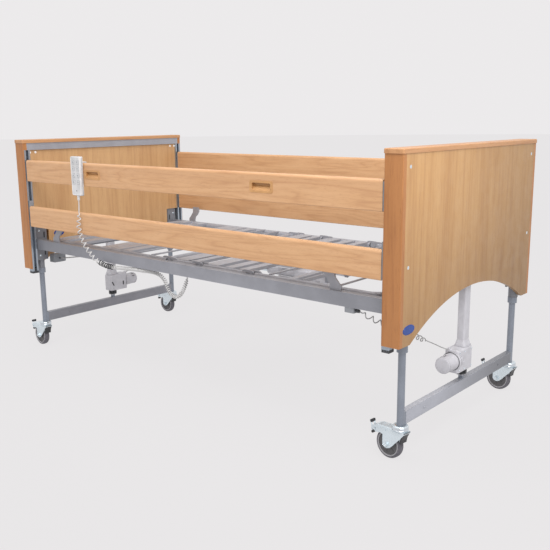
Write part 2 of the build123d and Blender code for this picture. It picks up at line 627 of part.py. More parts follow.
# ---------------------------------------------------------------- drives
def drive(y, tube_start, housing, motor_side):
    """Drive body: outer tube, gear housing, motor beside it and the rear eye."""
    z = SECTION_Z - DRIVE_DROP
    low, high = housing
    body = rod((tube_start, y, z), (low + 5, y, z), 17)
    gear = block((low, high), (y - 26, y + 26), (z - 30, z + 24))
    body += fillet(gear.edges().filter_by(Axis.X), 9)
    motor_y = y + motor_side * 8
    body += rod((low - 105, motor_y, z - 45), (low + 8, motor_y, z - 45), 27)
    body += block((low, high), (motor_y - 27, motor_y + 27), (z - 66, z - 28))
    eye = bar_xz((high - 5, z), (497, z), 12, (y - 12, y + 12))
    eye -= rod((497, y - 13, z), (497, y + 13, z), PIN_RADIUS + PIN_CLEARANCE)
    body += eye
    return body - rod((tube_start - 1, y, z), (high - 30, y, z), PUSH_ROD_RADIUS + 0.3)


def push_rod(y, eye_x, length):
    """Push rod with a cross pin through its eye."""
    z = SECTION_Z - DRIVE_DROP
    shape = rod((eye_x, y, z), (eye_x + length, y, z), PUSH_ROD_RADIUS)
    shape += rod((eye_x, y - 11, z), (eye_x, y + 11, z), 11)
    return shape + rod((eye_x, y - 20, z), (eye_x, y + 20, z), PIN_RADIUS)


# ---------------------------------------------------------------- side rails
def beam(z):
    """Near wooden rail with a rounded top."""
    shape = block((-BEAM_HALF_LENGTH, BEAM_HALF_LENGTH), (-BEAM_FACE, -BEAM_FACE + BEAM_THICK), z)
    shape = fillet(shape.edges().filter_by(Axis.X).group_by(Axis.Z)[-1], BEAM_THICK / 2 - 1)
    return fillet(shape.edges().filter_by(Axis.X).group_by(Axis.Z)[0], 3)


def upper_beam():
    shape = beam(UPPER_BEAM)
    for x in CUP_X:
        shape -= cup_block(x, 0.1, CUP_DEPTH)
    return shape


def cup_block(x, grow, depth):
    """Rounded block of one finger cup, grown all round by a clearance."""
    half_x, half_z = CUP_SIZE[0] / 2 + grow, CUP_SIZE[1] / 2 + grow
    shape = block((x - half_x, x + half_x), (-BEAM_FACE - 2, -BEAM_FACE + depth + grow),
                  (CUP_Z - half_z, CUP_Z + half_z))
    return fillet(shape.edges().filter_by(Axis.Y), 9)


def handle_cup(x):
    """Finger cup let into the upper beam, open to the outside."""
    cup = cup_block(x, 0, CUP_DEPTH) & block((x - 99, x + 99), (-BEAM_FACE - 1, -BEAM_FACE + 99), (800, 999))
    hollow = block((x - 45, x + 45), (-BEAM_FACE - 5, -BEAM_FACE + CUP_DEPTH - 3), (CUP_Z - 14, CUP_Z + 14))
    return cup - fillet(hollow.edges().filter_by(Axis.Y), 7)


def glide(z):
    """Near foot glide: a tongue on the beam's end with a tee head inside the guide."""
    low, high = z
    shape = block((BEAM_HALF_LENGTH, END_INNER + 16), (-GUIDE_Y - 5.5, -GUIDE_Y + 5.5), (low, high))
    shape += block((END_INNER + 5, END_INNER + 16), (-GUIDE_Y - 12, -GUIDE_Y + 12), (low, high))
    return shape + block((BEAM_HALF_LENGTH, END_INNER - 2), (-BEAM_FACE + 2, -BEAM_FACE + 23), (low, high))


# ---------------------------------------------------------------- handset
def handset_case():
    """Slim tapering case with key wells, a hook over the upper beam and a strain relief."""
    x0, x1 = HANDSET_X
    z0, z1 = HANDSET_Z
    front, back = HANDSET_Y
    middle = (x0 + x1) / 2
    outline = ((x0 + HANDSET_TAPER, z0), (x1 - HANDSET_TAPER, z0), (x1, z1), (x0, z1))
    case = plate_xz(outline, HANDSET_Y)
    corners = [edge for edge in case.edges() if abs(edge.center().Y - (front + back) / 2) < 0.1]
    case = fillet(corners, 5)
    case = fillet(case.edges().group_by(Axis.Y)[0], 2.5)
    case += block((middle - 18, middle + 18), (back - 1, -479), (UPPER_BEAM[1] + 1, UPPER_BEAM[1] + 5))
    case += block((middle - 18, middle + 18), (-483, -479), (UPPER_BEAM[1] - 34, UPPER_BEAM[1] + 5))
    case += rod((middle, -520, z0 + 2), (middle, -520, 802), 6)
    for x in KEY_X:
        for z in KEY_Z:
            case -= key_block(x, z, 0.3, front + 6)
    return case


def key_block(x, z, grow, back):
    half_x, half_z = KEY_SIZE[0] / 2 + grow, KEY_SIZE[1] / 2 + grow
    shape = block((x - half_x, x + half_x), (HANDSET_Y[0] - 2 - grow, back), (z - half_z, z + half_z))
    return fillet(shape.edges().filter_by(Axis.Y), 3)


# ---------------------------------------------------------------- boxes and cords
def electrical_boxes():
    """Control box under the seat, and one junction box at each end."""
    control = fillet(block((-55, 28), (-434, -314), (510, 545)).edges().filter_by(Axis.Z), 6)
    foot = fillet(block((860, 900), (-474, -446), (503, RAIL_Z[0])).edges().filter_by(Axis.Z), 4)
    head = fillet(block((-1046, -1010), (-404, -334), (445, 487)).edges().filter_by(Axis.X), 4)
    return control, foot, head


def cord_tube(name, points, radius):
    """Plain tube of straight runs and tangent arcs along a cord's route."""
    vectors = [Vector(*point) for point in points]
    radii = []
    for before, corner, after in zip(vectors, vectors[1:], vectors[2:]):
        run_in, run_out = corner - before, after - corner
        turn = radians(run_in.get_angle(run_out))
        radii.append(0.45 * min(run_in.length, run_out.length) / tan(turn / 2))
    path = FilletPolyline(*points, radius=radii)
    tube = sweep(Plane(origin=path @ 0, z_dir=path % 0) * Circle(radius), path=path)
    share = tube.volume / (path.length * 3.14159265 * radius ** 2)
    print(name, "length", round(path.length), "volume share", round(share, 4),
          "radii", [round(value) for value in radii])
    return tube


HANDSET_CORD = ((-593.5, -520, 801), (-594, -521, 760), (-599, -523, 715), (-601, -525, 672),
                (-588, -523, 630), (-563, -519, 590), (-534, -512, 552), (-500, -500, 524),
                (-456, -489, 508), (-400, -479, 505), (-342, -473, 508), (-284, -469, 511),
                (-228, -466, 511), (-174, -459, 512), (-132, -451, 504), (-105, -447, 482),
                (-91, -447, 453), (-73, -447, 427), (-44, -447, 415), (-16, -446, 424),
                (1, -442, 446), (9, -436, 469), (13, -429, 489), (14, -424, 509.5))
FOOT_CABLE = ((900, -458, 512), (923, -457, 507), (947, -456, 498), (972, -454, 489),
              (998, -448, 480), (1017, -432, 470), (1028, -407, 460), (1033, -372, 446),
              (1034, -331, 427), (1032, -284, 404), (1031, -235, 382), (1032, -184, 360),
              (1038, -142, 340), (1049, -113, 323), (1061, -88, 312))
HEAD_CABLE = ((-1010, -370, 465), (-977, -370, 468), (-938, -369, 474), (-896, -367, 481),
              (-856, -360, 487), (-826, -338, 491), (-812, -300, 492), (-815, -254, 491),
              (-832, -208, 488), (-858, -164, 484), (-888, -122, 478), (-918, -78, 469),
              (-944, -32, 456), (-966, 16, 438), (-986, 62, 413), (-1006, 100, 384),
              (-1027, 128, 352), (-1045.6, 120, 326.1), (-1060.9, 88.2, 312.1))


# ---------------------------------------------------------------- build
os.makedirs("parts", exist_ok=True)

save("foot_panel", outer_board())
save("head_panel", at_head(outer_board()))
save("inner_panels", inner_board(), at_head(inner_board()))
post = corner_post()
cap = top_cap()
save("edge_trims", post, at_far(post), at_head(post), at_head(at_far(post)), cap, at_head(cap))
save("foot_end_frame", end_frame(), spindle())
save("head_end_frame", at_head(end_frame()), at_head(spindle()))
guide = rail_guide()
save("rail_guides", guide, at_far(guide), at_head(guide), at_head(at_far(guide)))
collars = [leg_collar(side) for side in (-1, 1)]
save("leg_collars", *collars, *[at_head(collar) for collar in collars])
foot = guide_foot()
save("guide_feet", foot, at_far(foot), at_head(foot), at_head(at_far(foot)))
screws = [board_screw(place, -1) for place in screw_places(END_FACE)]
clamps = [clamp_screw(x, side) for x in (-1000, -960, 0, 960, 1000) for side in (-1, 1)]
save("frame_screws", *screws, *[at_head(screw) for screw in screws], *clamps)

save("foot_leg_frame", leg_frame())
save("head_leg_frame", at_head(leg_frame()))
save("foot_lift_motor", lift_motor(-1))
save("head_lift_motor", at_head(lift_motor(1)))
for corner in CASTERS:
    save(f"{corner}_fork", place_caster(caster_fork(), corner))
    save(f"{corner}_wheel", place_caster(caster_wheel(), corner))
    save(f"{corner}_pedal", place_caster(brake_pedal(), corner))

save("head_side_frame", head_side_frame())
save("foot_side_frame", foot_side_frame())
save("backrest_section", backrest_section())
save("seat_section", seat_section())
save("thigh_section", thigh_section())
save("calf_section", calf_section())
retainers = [mattress_retainer(812, -1), mattress_retainer(-890, 1)]
save("mattress_retainers", *retainers, *[at_far(plate) for plate in retainers])

back_reach = DRIVE_DROP * tan(radians(BACK_SWING))
thigh_reach = DRIVE_DROP * tan(radians(THIGH_SWING))
save("backrest_drive", drive(BACK_DRIVE_Y, 62, (300, 400), 1))
save("backrest_push_rod", push_rod(BACK_DRIVE_Y, BACK_HINGE + back_reach, 300))
save("thigh_drive", drive(THIGH_DRIVE_Y, 166, (330, 430), -1))
save("thigh_push_rod", push_rod(THIGH_DRIVE_Y, THIGH_HINGE - thigh_reach, 230))

save("near_upper_rail", upper_beam())
save("near_lower_rail", beam(LOWER_BEAM))
save("far_upper_rail", at_far(upper_beam()))
save("far_lower_rail", at_far(beam(LOWER_BEAM)))
cups = [handle_cup(x) for x in CUP_X]
save("near_handle_cups", *cups)
save("far_handle_cups", *[at_far(cup) for cup in cups])
glide_heights = {"upper": (UPPER_BEAM[0] + 2, UPPER_BEAM[1] - 8), "lower": (LOWER_BEAM[0] + 2, LOWER_BEAM[1] + 26)}
for level, z in glide_heights.items():
    block_pair = (glide(z), at_head(glide(z)))
    save(f"near_{level}_glides", *block_pair)
    save(f"far_{level}_glides", *[at_far(piece) for piece in block_pair])

save("handset_case", handset_case())
for row, key_z in enumerate(KEY_Z, start=1):
    for label, key_x in zip(("left", "right"), KEY_X):
        save(f"key_{row}_{label}", key_block(key_x, key_z, 0, HANDSET_Y[0] + 4.5))

save("electrical_boxes", *electrical_boxes())
save("handset_cord", cord_tube("handset_cord", HANDSET_CORD, CORD_RADIUS))
save("foot_lift_cable", cord_tube("foot_lift_cable", FOOT_CABLE, CABLE_RADIUS))
save("head_lift_cable", cord_tube("head_lift_cable", HEAD_CABLE, PLAIN_CABLE_RADIUS))
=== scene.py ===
import json
import math

import bmesh
import bpy
from mathutils import Matrix, Vector


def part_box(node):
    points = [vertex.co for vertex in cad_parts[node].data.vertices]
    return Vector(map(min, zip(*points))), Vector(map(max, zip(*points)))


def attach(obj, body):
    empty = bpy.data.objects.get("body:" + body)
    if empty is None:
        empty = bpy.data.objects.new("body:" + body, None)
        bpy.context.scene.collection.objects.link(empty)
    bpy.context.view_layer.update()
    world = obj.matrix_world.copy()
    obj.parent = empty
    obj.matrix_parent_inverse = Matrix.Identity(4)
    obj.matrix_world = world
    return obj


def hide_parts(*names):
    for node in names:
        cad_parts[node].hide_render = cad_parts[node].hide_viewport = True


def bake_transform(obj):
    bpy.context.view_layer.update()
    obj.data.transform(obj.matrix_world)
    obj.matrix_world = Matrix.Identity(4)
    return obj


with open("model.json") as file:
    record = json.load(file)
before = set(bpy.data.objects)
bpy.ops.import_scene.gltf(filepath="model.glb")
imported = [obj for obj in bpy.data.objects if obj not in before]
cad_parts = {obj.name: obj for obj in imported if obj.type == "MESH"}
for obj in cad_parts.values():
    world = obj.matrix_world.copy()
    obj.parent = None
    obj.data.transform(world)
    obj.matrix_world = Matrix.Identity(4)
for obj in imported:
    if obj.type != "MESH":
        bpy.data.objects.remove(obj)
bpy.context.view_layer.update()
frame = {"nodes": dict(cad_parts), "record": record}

scene = bpy.context.scene
X, Y, Z = Vector((1, 0, 0)), Vector((0, 1, 0)), Vector((0, 0, 1))
LEG_X = 1.074  # the legs and lifting columns, from the middle of the bed


def axes(origin, right, up, ahead):
    """A matrix at origin with these local X, Y and Z axes."""
    return Matrix.Translation(Vector(origin)) @ Matrix((right, up, ahead)).transposed().to_4x4()


# ---------------------------------------------------------------- camera
EYE = Vector((2.3334, -2.5464, 1.1669))
YAW, PITCH, ROLL = -0.7118, 0.2067, -0.01
LENS = 49.41


def make_camera():
    ahead = Vector((math.sin(YAW) * math.cos(PITCH), math.cos(YAW) * math.cos(PITCH), -math.sin(PITCH)))
    side = Vector((math.cos(YAW), -math.sin(YAW), 0))
    up = side.cross(ahead)
    right = side * math.cos(ROLL) + up * math.sin(ROLL)
    top = up * math.cos(ROLL) - side * math.sin(ROLL)
    data = bpy.data.cameras.new("camera")
    data.lens, data.sensor_width = LENS, 36
    data.clip_start, data.clip_end = 0.05, 200
    cam = bpy.data.objects.new("camera", data)
    cam.matrix_world = axes(EYE, right, top, -ahead)
    scene.collection.objects.link(cam)
    scene.camera = cam


make_camera()


# ---------------------------------------------------------------- mesh helpers
BEVEL_STEPS = 2
MERGE = 1e-6


def finish_mesh(name, bm, materials, body, sharp=32.0, bevel=0.0, replaces=()):
    """A piece from a bmesh, smooth except over its sharp edges, riding on a CAD body."""
    bmesh.ops.remove_doubles(bm, verts=bm.verts, dist=MERGE)
    bmesh.ops.recalc_face_normals(bm, faces=bm.faces)
    limit = math.radians(sharp)
    for face in bm.faces:
        face.smooth = True
    for edge in bm.edges:
        edge.smooth = len(edge.link_faces) == 2 and edge.calc_face_angle(0.0) < limit
    mesh = bpy.data.meshes.new(name)
    bm.to_mesh(mesh)
    bm.free()
    obj = bpy.data.objects.new(name, mesh)
    for material in materials if isinstance(materials, (list, tuple)) else [materials]:
        mesh.materials.append(material)
    scene.collection.objects.link(obj)
    if bevel:
        mod = obj.modifiers.new("edges", "BEVEL")
        mod.width, mod.segments, mod.limit_method = bevel, BEVEL_STEPS, "ANGLE"
        mod.angle_limit, mod.harden_normals = math.radians(sharp), True
    if body:
        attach(obj, body)
    if replaces:
        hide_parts(*replaces)
    return obj


def frames_along(path):
    """A sideways and an upward direction at each point of a path, turning as little as possible."""
    last = len(path) - 1
    ahead = [(path[min(i + 1, last)] - path[max(i - 1, 0)]).normalized() for i in range(len(path))]
    side = ahead[0].orthogonal().normalized()
    out = []
    for direction in ahead:
        side = (side - direction * side.dot(direction)).normalized()
        out.append((direction, side, direction.cross(side)))
    return out


def sweep(bm, path, radius, around=10, squash=1.0, index=0, caps=True):
    """A tube along a path. radius is one number, or one for each point."""
    radii = radius if isinstance(radius, list) else [radius] * len(path)
    rings = []
    for point, r, (_, side, up) in zip(path, radii, frames_along(path)):
        ring = []
        for k in range(around):
            a = 2 * math.pi * k / around
            ring.append(bm.verts.new(point + side * (r * math.cos(a)) + up * (r * squash * math.sin(a))))
        rings.append(ring)
    for one, two in zip(rings, rings[1:]):
        for k in range(around):
            j = (k + 1) % around
            bm.faces.new((one[k], one[j], two[j], two[k])).material_index = index
    if caps:
        bm.faces.new(rings[0][::-1]).material_index = index
        bm.faces.new(rings[-1]).material_index = index


def bead(bm, points, radius, around=8, index=0):
    """A thin round bead along a closed outline."""
    sweep(bm, points + points[:1], radius, around, index=index)


def lathe(bm, profile, place, steps=40, index=0):
    """A turned part: (radius, height) pairs revolved round the local Z of a matrix."""
    rings = []
    for r, h in profile:
        if r < 1e-7:
            rings.append([bm.verts.new(place @ Vector((0, 0, h)))])
            continue
        turn = [2 * math.pi * k / steps for k in range(steps)]
        rings.append([bm.verts.new(place @ Vector((r * math.cos(a), r * math.sin(a), h))) for a in turn])
    for one, two in zip(rings, rings[1:]):
        for k in range(steps):
            j = (k + 1) % steps
            corner = [one[k % len(one)], one[j % len(one)], two[j % len(two)], two[k % len(two)]]
            kept = [v for i, v in enumerate(corner) if v not in corner[:i]]
            if len(kept) > 2:
                bm.faces.new(kept).material_index = index


def prism(bm, outline, place, low, high, index=0, draft=1.0):
    """A closed outline of (u, v) pairs pulled from low to high along the local Z of a matrix."""
    bottom = [bm.verts.new(place @ Vector((u, v, low))) for u, v in outline]
    top = [bm.verts.new(place @ Vector((u * draft, v * draft, high))) for u, v in outline]
    bm.faces.new(bottom[::-1]).material_index = index
    bm.faces.new(top).material_index = index
    for k in range(len(outline)):
        j = (k + 1) % len(outline)
        bm.faces.new((bottom[k], bottom[j], top[j], top[k])).material_index = index


def rounded(width, height, radius, steps=5, at=(0.0, 0.0)):
    """The outline of a rectangle with rounded corners."""
    out = []
    for cx, cy, start in ((1, 1, 0), (-1, 1, 90), (-1, -1, 180), (1, -1, 270)):
        for k in range(steps + 1):
            a = math.radians(start + 90 * k / steps)
            u = cx * (width / 2 - radius) + radius * math.cos(a)
            v = cy * (height / 2 - radius) + radius * math.sin(a)
            out.append((u + at[0], v + at[1]))
    return out


def ellipse(half_u, half_v, steps):
    turn = [math.tau * k / steps for k in range(steps)]
    return [(half_u * math.cos(a), half_v * math.sin(a)) for a in turn]


def looking(origin, normal, up=Z):
    """A matrix at origin whose Z is normal, and whose Y is as near up as it can be."""
    n = Vector(normal).normalized()
    u = Vector(up)
    if abs(n.dot(u.normalized())) > 0.98:
        u = X
    side = u.cross(n).normalized()
    return axes(origin, side, n.cross(side), n)


# ---------------------------------------------------------------- materials
class Shader:
    """A material with its Principled shader, and short calls for its other nodes."""

    def __init__(self, name, rough=0.5, **own):
        self.mat = bpy.data.materials.new(name)
        self.mat.use_nodes = True
        self.tree = self.mat.node_tree
        self.bsdf = self.tree.nodes["Principled BSDF"]
        self.bsdf.inputs["Roughness"].default_value = rough
        for key, value in own.items():
            self.bsdf.inputs[key.replace("_", " ")].default_value = value

    def add(self, kind, settings=(), **sockets):
        node = self.tree.nodes.new("ShaderNode" + kind)
        for key, value in dict(settings).items():
            setattr(node, key, value)
        for key, value in sockets.items():
            place = node.inputs[int(key[1:])] if key[0] == "_" else node.inputs[key]
            if isinstance(value, bpy.types.NodeSocket):
                self.tree.links.new(value, place)
            else:
                place.default_value = value
        return node

    def point(self, stretch=(1, 1, 1)):
        """The place on the object in metres, with each axis scaled."""
        here = self.add("TexCoord").outputs["Object"]
        return self.add("VectorMath", {"operation": "MULTIPLY"}, _0=here, _1=stretch).outputs[0]

    def noise(self, vector, scale, detail=2.0, rough=0.5, warp=0.0):
        node = self.add("TexNoise", Vector=vector, Scale=scale, Detail=detail, Roughness=rough,
                        Distortion=warp)
        return node.outputs["Fac"]

    def math(self, operation, a, b=0.0, c=0.0):
        return self.add("Math", {"operation": operation}, _0=a, _1=b, _2=c).outputs[0]

    def spread(self, value, low, high, to_low=0.0, to_high=1.0):
        """value from low to high, made to_low to to_high, with a soft start and end."""
        node = self.add("MapRange", {"interpolation_type": "SMOOTHSTEP"}, _0=value, _1=low, _2=high)
        node.inputs[3].default_value, node.inputs[4].default_value = to_low, to_high
        return node.outputs[0]

    def blend(self, a, b, share, kind="MIX"):
        node = self.add("Mix", {"data_type": "RGBA", "blend_type": kind})
        for place, value in ((0, share), (6, a), (7, b)):
            if isinstance(value, bpy.types.NodeSocket):
                self.tree.links.new(value, node.inputs[place])
            elif place == 0:
                node.inputs[0].default_value = value
            else:
                node.inputs[place].default_value = (*value, 1.0)
        return node.outputs[2]

    def colour(self, value):
        if isinstance(value, bpy.types.NodeSocket):
            self.tree.links.new(value, self.bsdf.inputs["Base Color"])
        else:
            self.bsdf.inputs["Base Color"].default_value = (*value, 1.0)

    def gloss(self, value):
        self.tree.links.new(value, self.bsdf.inputs["Roughness"])

    def bump(self, height, distance, strength=1.0, over=None):
        sockets = {"Height": height, "Distance": distance, "Strength": strength}
        if over is not None:
            sockets["Normal"] = over
        out = self.add("Bump", **sockets).outputs[0]
        self.tree.links.new(out, self.bsdf.inputs["Normal"])
        return out

    def edges(self, radius, low=0.02, high=0.25):
        """1 on edges sharper than the radius, 0 on flat ground."""
        soft = self.add("Bevel", {"samples": 4}, Radius=radius).outputs[0]
        true = self.add("NewGeometry").outputs["Normal"]
        dot = self.add("VectorMath", {"operation": "DOT_PRODUCT"}, _0=soft, _1=true).outputs["Value"]
        return self.spread(self.math("SUBTRACT", 1.0, dot), low, high)


def grain(s, here, tones, figure, lines, depth):
    """Oak seen along its grain: (colour, height) for coordinates already stretched along it."""
    dark, mid, light = tones
    rings = s.noise(here, figure, 1.6, 0.45, 0.35)
    wave = s.math("PINGPONG", s.math("MULTIPLY", rings, lines), 1.0)
    fine = s.noise(here, 260.0, 3.0, 0.6)
    streak = s.noise(here, 75.0, 2.0, 0.5)
    broad = s.noise(here, 5.5, 2.0)
    pores = s.spread(s.noise(here, 620.0, 2.0, 0.5), 0.60, 0.74)
    colour = s.blend(mid, light, s.math("MULTIPLY", s.spread(wave, 0.1, 0.95), depth * 1.6))
    colour = s.blend(colour, dark, s.math("MULTIPLY", s.spread(wave, 0.22, 0.0), depth))
    colour = s.blend(colour, dark, s.spread(streak, 0.50, 0.72, 0.0, 0.30))
    colour = s.blend(colour, light, s.spread(streak, 0.48, 0.28, 0.0, 0.35))
    colour = s.blend(colour, dark, s.spread(fine, 0.50, 0.78, 0.0, 0.38))
    colour = s.blend(colour, light, s.spread(broad, 0.52, 0.75, 0.0, 0.35))
    colour = s.blend(colour, dark, s.spread(broad, 0.48, 0.28, 0.0, 0.20))
    colour = s.blend(colour, dark, s.math("MULTIPLY", pores, 0.45))
    height = s.math("SUBTRACT", s.math("MULTIPLY", fine, 0.5), pores)
    return colour, height


def wood(name, stretch, tones, figure=7.0, lines=9.0, depth=0.3, rough=0.42, knots=0.0, above=None,
         shade=None):
    """Lacquered oak. above is (height, stretch, tones) for what lies over a height, where the grain turns.
    shade holds rows of (axis, start, end, share at the start, share at the end), each as in coat(): painted
    shade that darkens the colour along each axis."""
    s = Shader(name, rough, Specular_IOR_Level=0.45, Coat_Weight=0.12, Coat_Roughness=0.25)
    colour, height = grain(s, s.point(stretch), tones, figure, lines, depth)
    if above:
        level, turned, others = above
        z = s.add("SeparateXYZ", _0=s.point()).outputs[2]
        top = s.math("GREATER_THAN", z, level)
        colour_2, height_2 = grain(s, s.point(turned), others, figure, lines, depth)
        colour = s.blend(colour, colour_2, top)
        height = s.add("Mix", {"data_type": "FLOAT"}, _0=top, _2=height, _3=height_2).outputs[0]
    if knots:
        flat = s.point([0.35 + 0.65 * (x > 0.5) for x in stretch])
        cell = s.add("TexVoronoi", Vector=flat, Scale=knots)
        ragged = s.math("ADD", cell.outputs["Distance"], s.math("MULTIPLY", s.noise(flat, 160.0, 2.0), 0.03))
        lot = s.add("SeparateXYZ", _0=cell.outputs["Color"]).outputs[0]  # under half the cells hold a knot
        spot = s.math("MULTIPLY", s.spread(ragged, 0.045, 0.022), s.math("GREATER_THAN", lot, 0.55))
        colour = s.blend(colour, tones[0], s.math("MULTIPLY", spot, 0.75))
    worn = s.edges(0.0025)
    colour = s.blend(colour, tones[2], s.math("MULTIPLY", worn, 0.35))
    # Painted shade: the colour darkens along each listed axis.
    for axis, *limits in shade or ():
        place = s.add("SeparateXYZ", _0=s.point()).outputs[axis]
        colour = s.blend((0.0, 0.0, 0.0), colour, s.spread(place, *limits))
    s.colour(colour)
    s.gloss(s.spread(s.noise(s.point(), 22.0, 3.0), 0.3, 0.7, rough - 0.07, rough + 0.09))
    s.bump(height, 0.00012, 0.6)
    return s.mat


def coat(name, tone, rough=0.4, metal=0.0, peel=900.0, depth=0.00006, wear=(0.75, 0.76, 0.78), worn=0.35,
         dust=0.12, shade=None):
    """Painted or plated metal: fine orange peel, cloudy gloss, brighter edges and a little dust.
    shade is (axis, start, end, share at the start, share at the end): painted shade that darkens the colour
    along that axis."""
    s = Shader(name, rough, Metallic=metal, Specular_IOR_Level=0.5)
    here = s.point()
    cloud = s.noise(here, 14.0, 4.0, 0.6)
    colour = s.blend(tone, [min(1.0, c * 1.14) for c in tone], s.spread(cloud, 0.3, 0.7))
    speck = s.spread(s.noise(here, 420.0, 2.0), 0.62, 0.75)
    colour = s.blend(colour, [c * 0.8 for c in tone], s.math("MULTIPLY", speck, 0.5))
    facing = s.add("SeparateXYZ", _0=s.add("NewGeometry").outputs["Normal"]).outputs[2]
    film = s.math("MULTIPLY", s.spread(facing, 0.55, 1.0), s.spread(cloud, 0.35, 0.65, 0.3, 1.0))
    colour = s.blend(colour, (0.7, 0.69, 0.67), s.math("MULTIPLY", film, dust))
    colour = s.blend(colour, wear, s.math("MULTIPLY", s.edges(0.0012), worn))
    # Painted shade: the colour darkens along the given axis.
    if shade:
        axis, *limits = shade
        place = s.add("SeparateXYZ", _0=here).outputs[axis]
        colour = s.blend((0.0, 0.0, 0.0), colour, s.spread(place, *limits))
    s.colour(colour)
    scuff = s.noise(s.point((1, 1, 0.15)), 90.0, 3.0, 0.7)
    s.gloss(s.spread(s.math("ADD", s.math("MULTIPLY", cloud, 0.6), s.math("MULTIPLY", scuff, 0.4)), 0.3, 0.7,
                     rough - 0.08, rough + 0.12))
    s.bump(s.noise(here, peel, 2.0, 0.5), depth, 0.5)
    return s.mat


def moulded(name, tone, rough=0.45, depth=0.00008, grit=1500.0, dust=0.1, sheen=0.5):
    """Moulded plastic: fine spark-eroded texture, faint flow marks, a painted highlight on the edges, and
    dust.
    """
    s = Shader(name, rough, Specular_IOR_Level=sheen)
    here = s.point()
    flow = s.noise(here, 26.0, 3.0, 0.55, 0.6)
    colour = s.blend([c * 0.93 for c in tone], [min(1.0, c * 1.06 + 0.004) for c in tone],
                     s.spread(flow, 0.3, 0.7))
    facing = s.add("SeparateXYZ", _0=s.add("NewGeometry").outputs["Normal"]).outputs[2]
    film = s.math("MULTIPLY", s.spread(facing, 0.4, 1.0), s.spread(s.noise(here, 120.0, 4.0), 0.4, 0.65))
    colour = s.blend(colour, (0.62, 0.6, 0.57), s.math("MULTIPLY", film, dust))
    # Paler colour along sharp edges: a painted highlight.
    colour = s.blend(colour, [min(1.0, c * 1.25 + 0.03) for c in tone],
                     s.math("MULTIPLY", s.edges(0.0008), 0.4))
    s.colour(colour)
    s.gloss(s.spread(flow, 0.3, 0.7, rough - 0.06, rough + 0.1))
    s.bump(s.noise(here, grit, 3.0, 0.6), depth, 0.6)
    return s.mat


def rubber(name, tone, rough=0.7):
    s = Shader(name, rough, Specular_IOR_Level=0.35)
    here = s.point()
    scuffs = s.noise(here, 60.0, 4.0, 0.7)
    colour = s.blend(tone, [min(1.0, c * 1.5) for c in tone], s.spread(scuffs, 0.45, 0.75))
    colour = s.blend(colour, (0.34, 0.33, 0.31), s.spread(s.noise(here, 220.0, 3.0), 0.58, 0.75, 0.0, 0.35))
    s.colour(colour)
    s.gloss(s.spread(scuffs, 0.3, 0.7, rough - 0.1, rough + 0.12))
    s.bump(s.noise(here, 700.0, 3.0, 0.65), 0.00015, 0.7)
    return s.mat


def brushed(name, tone, along, rough=0.3):
    """Drawn aluminium: fine lines along its length."""
    s = Shader(name, rough, Metallic=0.85)
    lines = s.noise(s.point(along), 900.0, 3.0, 0.7)
    cloud = s.noise(s.point(), 10.0, 3.0)
    colour = s.blend(tone, [min(1.0, c * 1.18) for c in tone], s.spread(cloud, 0.3, 0.7))
    colour = s.blend(colour, [c * 0.82 for c in tone], s.spread(lines, 0.52, 0.75, 0.0, 0.5))
    s.colour(colour)
    s.gloss(s.spread(lines, 0.3, 0.7, rough - 0.06, rough + 0.14))
    s.bump(lines, 0.00005, 0.6)
    return s.mat


OAK = ((0.37, 0.180, 0.072), (0.535, 0.315, 0.146), (0.61, 0.380, 0.19))
# The foot panel's oak: OAK made darker, as painted shade on the foot panel.
SHADED_FOOT_OAK = ((0.37, 0.174, 0.060), (0.53, 0.300, 0.122), (0.60, 0.362, 0.162))
BEAM_OAK = ((0.40, 0.195, 0.090), (0.59, 0.335, 0.166), (0.66, 0.400, 0.215))
POST_OAK = ((0.24, 0.085, 0.026), (0.385, 0.158, 0.048), (0.45, 0.195, 0.065))
CAP_OAK = ((0.33, 0.145, 0.058), (0.47, 0.232, 0.100), (0.54, 0.290, 0.135))
panel_oak = wood("panel_oak", (1, 1, 0.055), OAK, 10.0, 8.0, 0.22, 0.44, knots=3.1)
# The foot panel also darkens towards its bottom and towards its far side: painted shade.
foot_panel_oak = wood("foot_panel_oak", (1, 1, 0.055), SHADED_FOOT_OAK, 10.0, 8.0, 0.22, 0.44, knots=3.1,
                      shade=((2, 0.40, 1.00, 0.68, 1.0), (1, -0.35, 0.50, 1.0, 0.74)))
beam_oak = wood("beam_oak", (0.075, 1, 1), BEAM_OAK, 15.0, 17.0, 0.26, 0.44, knots=2.6)
CAP_UNDERSIDE = 1.0515
trim_oak = wood("trim_oak", (1, 1, 0.06), POST_OAK, 14.0, 7.0, 0.4, 0.42,
                above=(CAP_UNDERSIDE, (1, 0.06, 1), CAP_OAK))
grey_paint = coat("grey_paint", (0.31, 0.315, 0.345), 0.36, 0.2)
# frame_paint and head_frame_paint are near copies of one grey paint, for the foot and head halves of the side
# frame; each darkens towards its own end of the bed as painted shade.
frame_paint = coat("frame_paint", (0.275, 0.28, 0.31), 0.36, 0.2, shade=(0, 0.3, 1.0, 1.0, 0.86))
head_frame_paint = coat("head_frame_paint", (0.265, 0.27, 0.30), 0.36, 0.2, shade=(0, -1.0, -0.2, 0.74, 1.0))
leg_paint = coat("leg_paint", (0.205, 0.225, 0.265), 0.34, 0.25)
# foot_bar_paint and head_bar_paint are one crossbar paint: the foot copy is made lighter and the head copy
# darker, as painted light and shade; the foot copy darkens towards the far side and the head copy towards the
# near side, as painted shade.
foot_bar_paint = coat("foot_bar_paint", (0.345, 0.355, 0.395), 0.34, 0.1, shade=(1, -0.30, 0.42, 1.0, 0.42))
head_bar_paint = coat("head_bar_paint", (0.225, 0.225, 0.25), 0.34, 0.1, shade=(1, -0.42, 0.42, 0.85, 1.0))
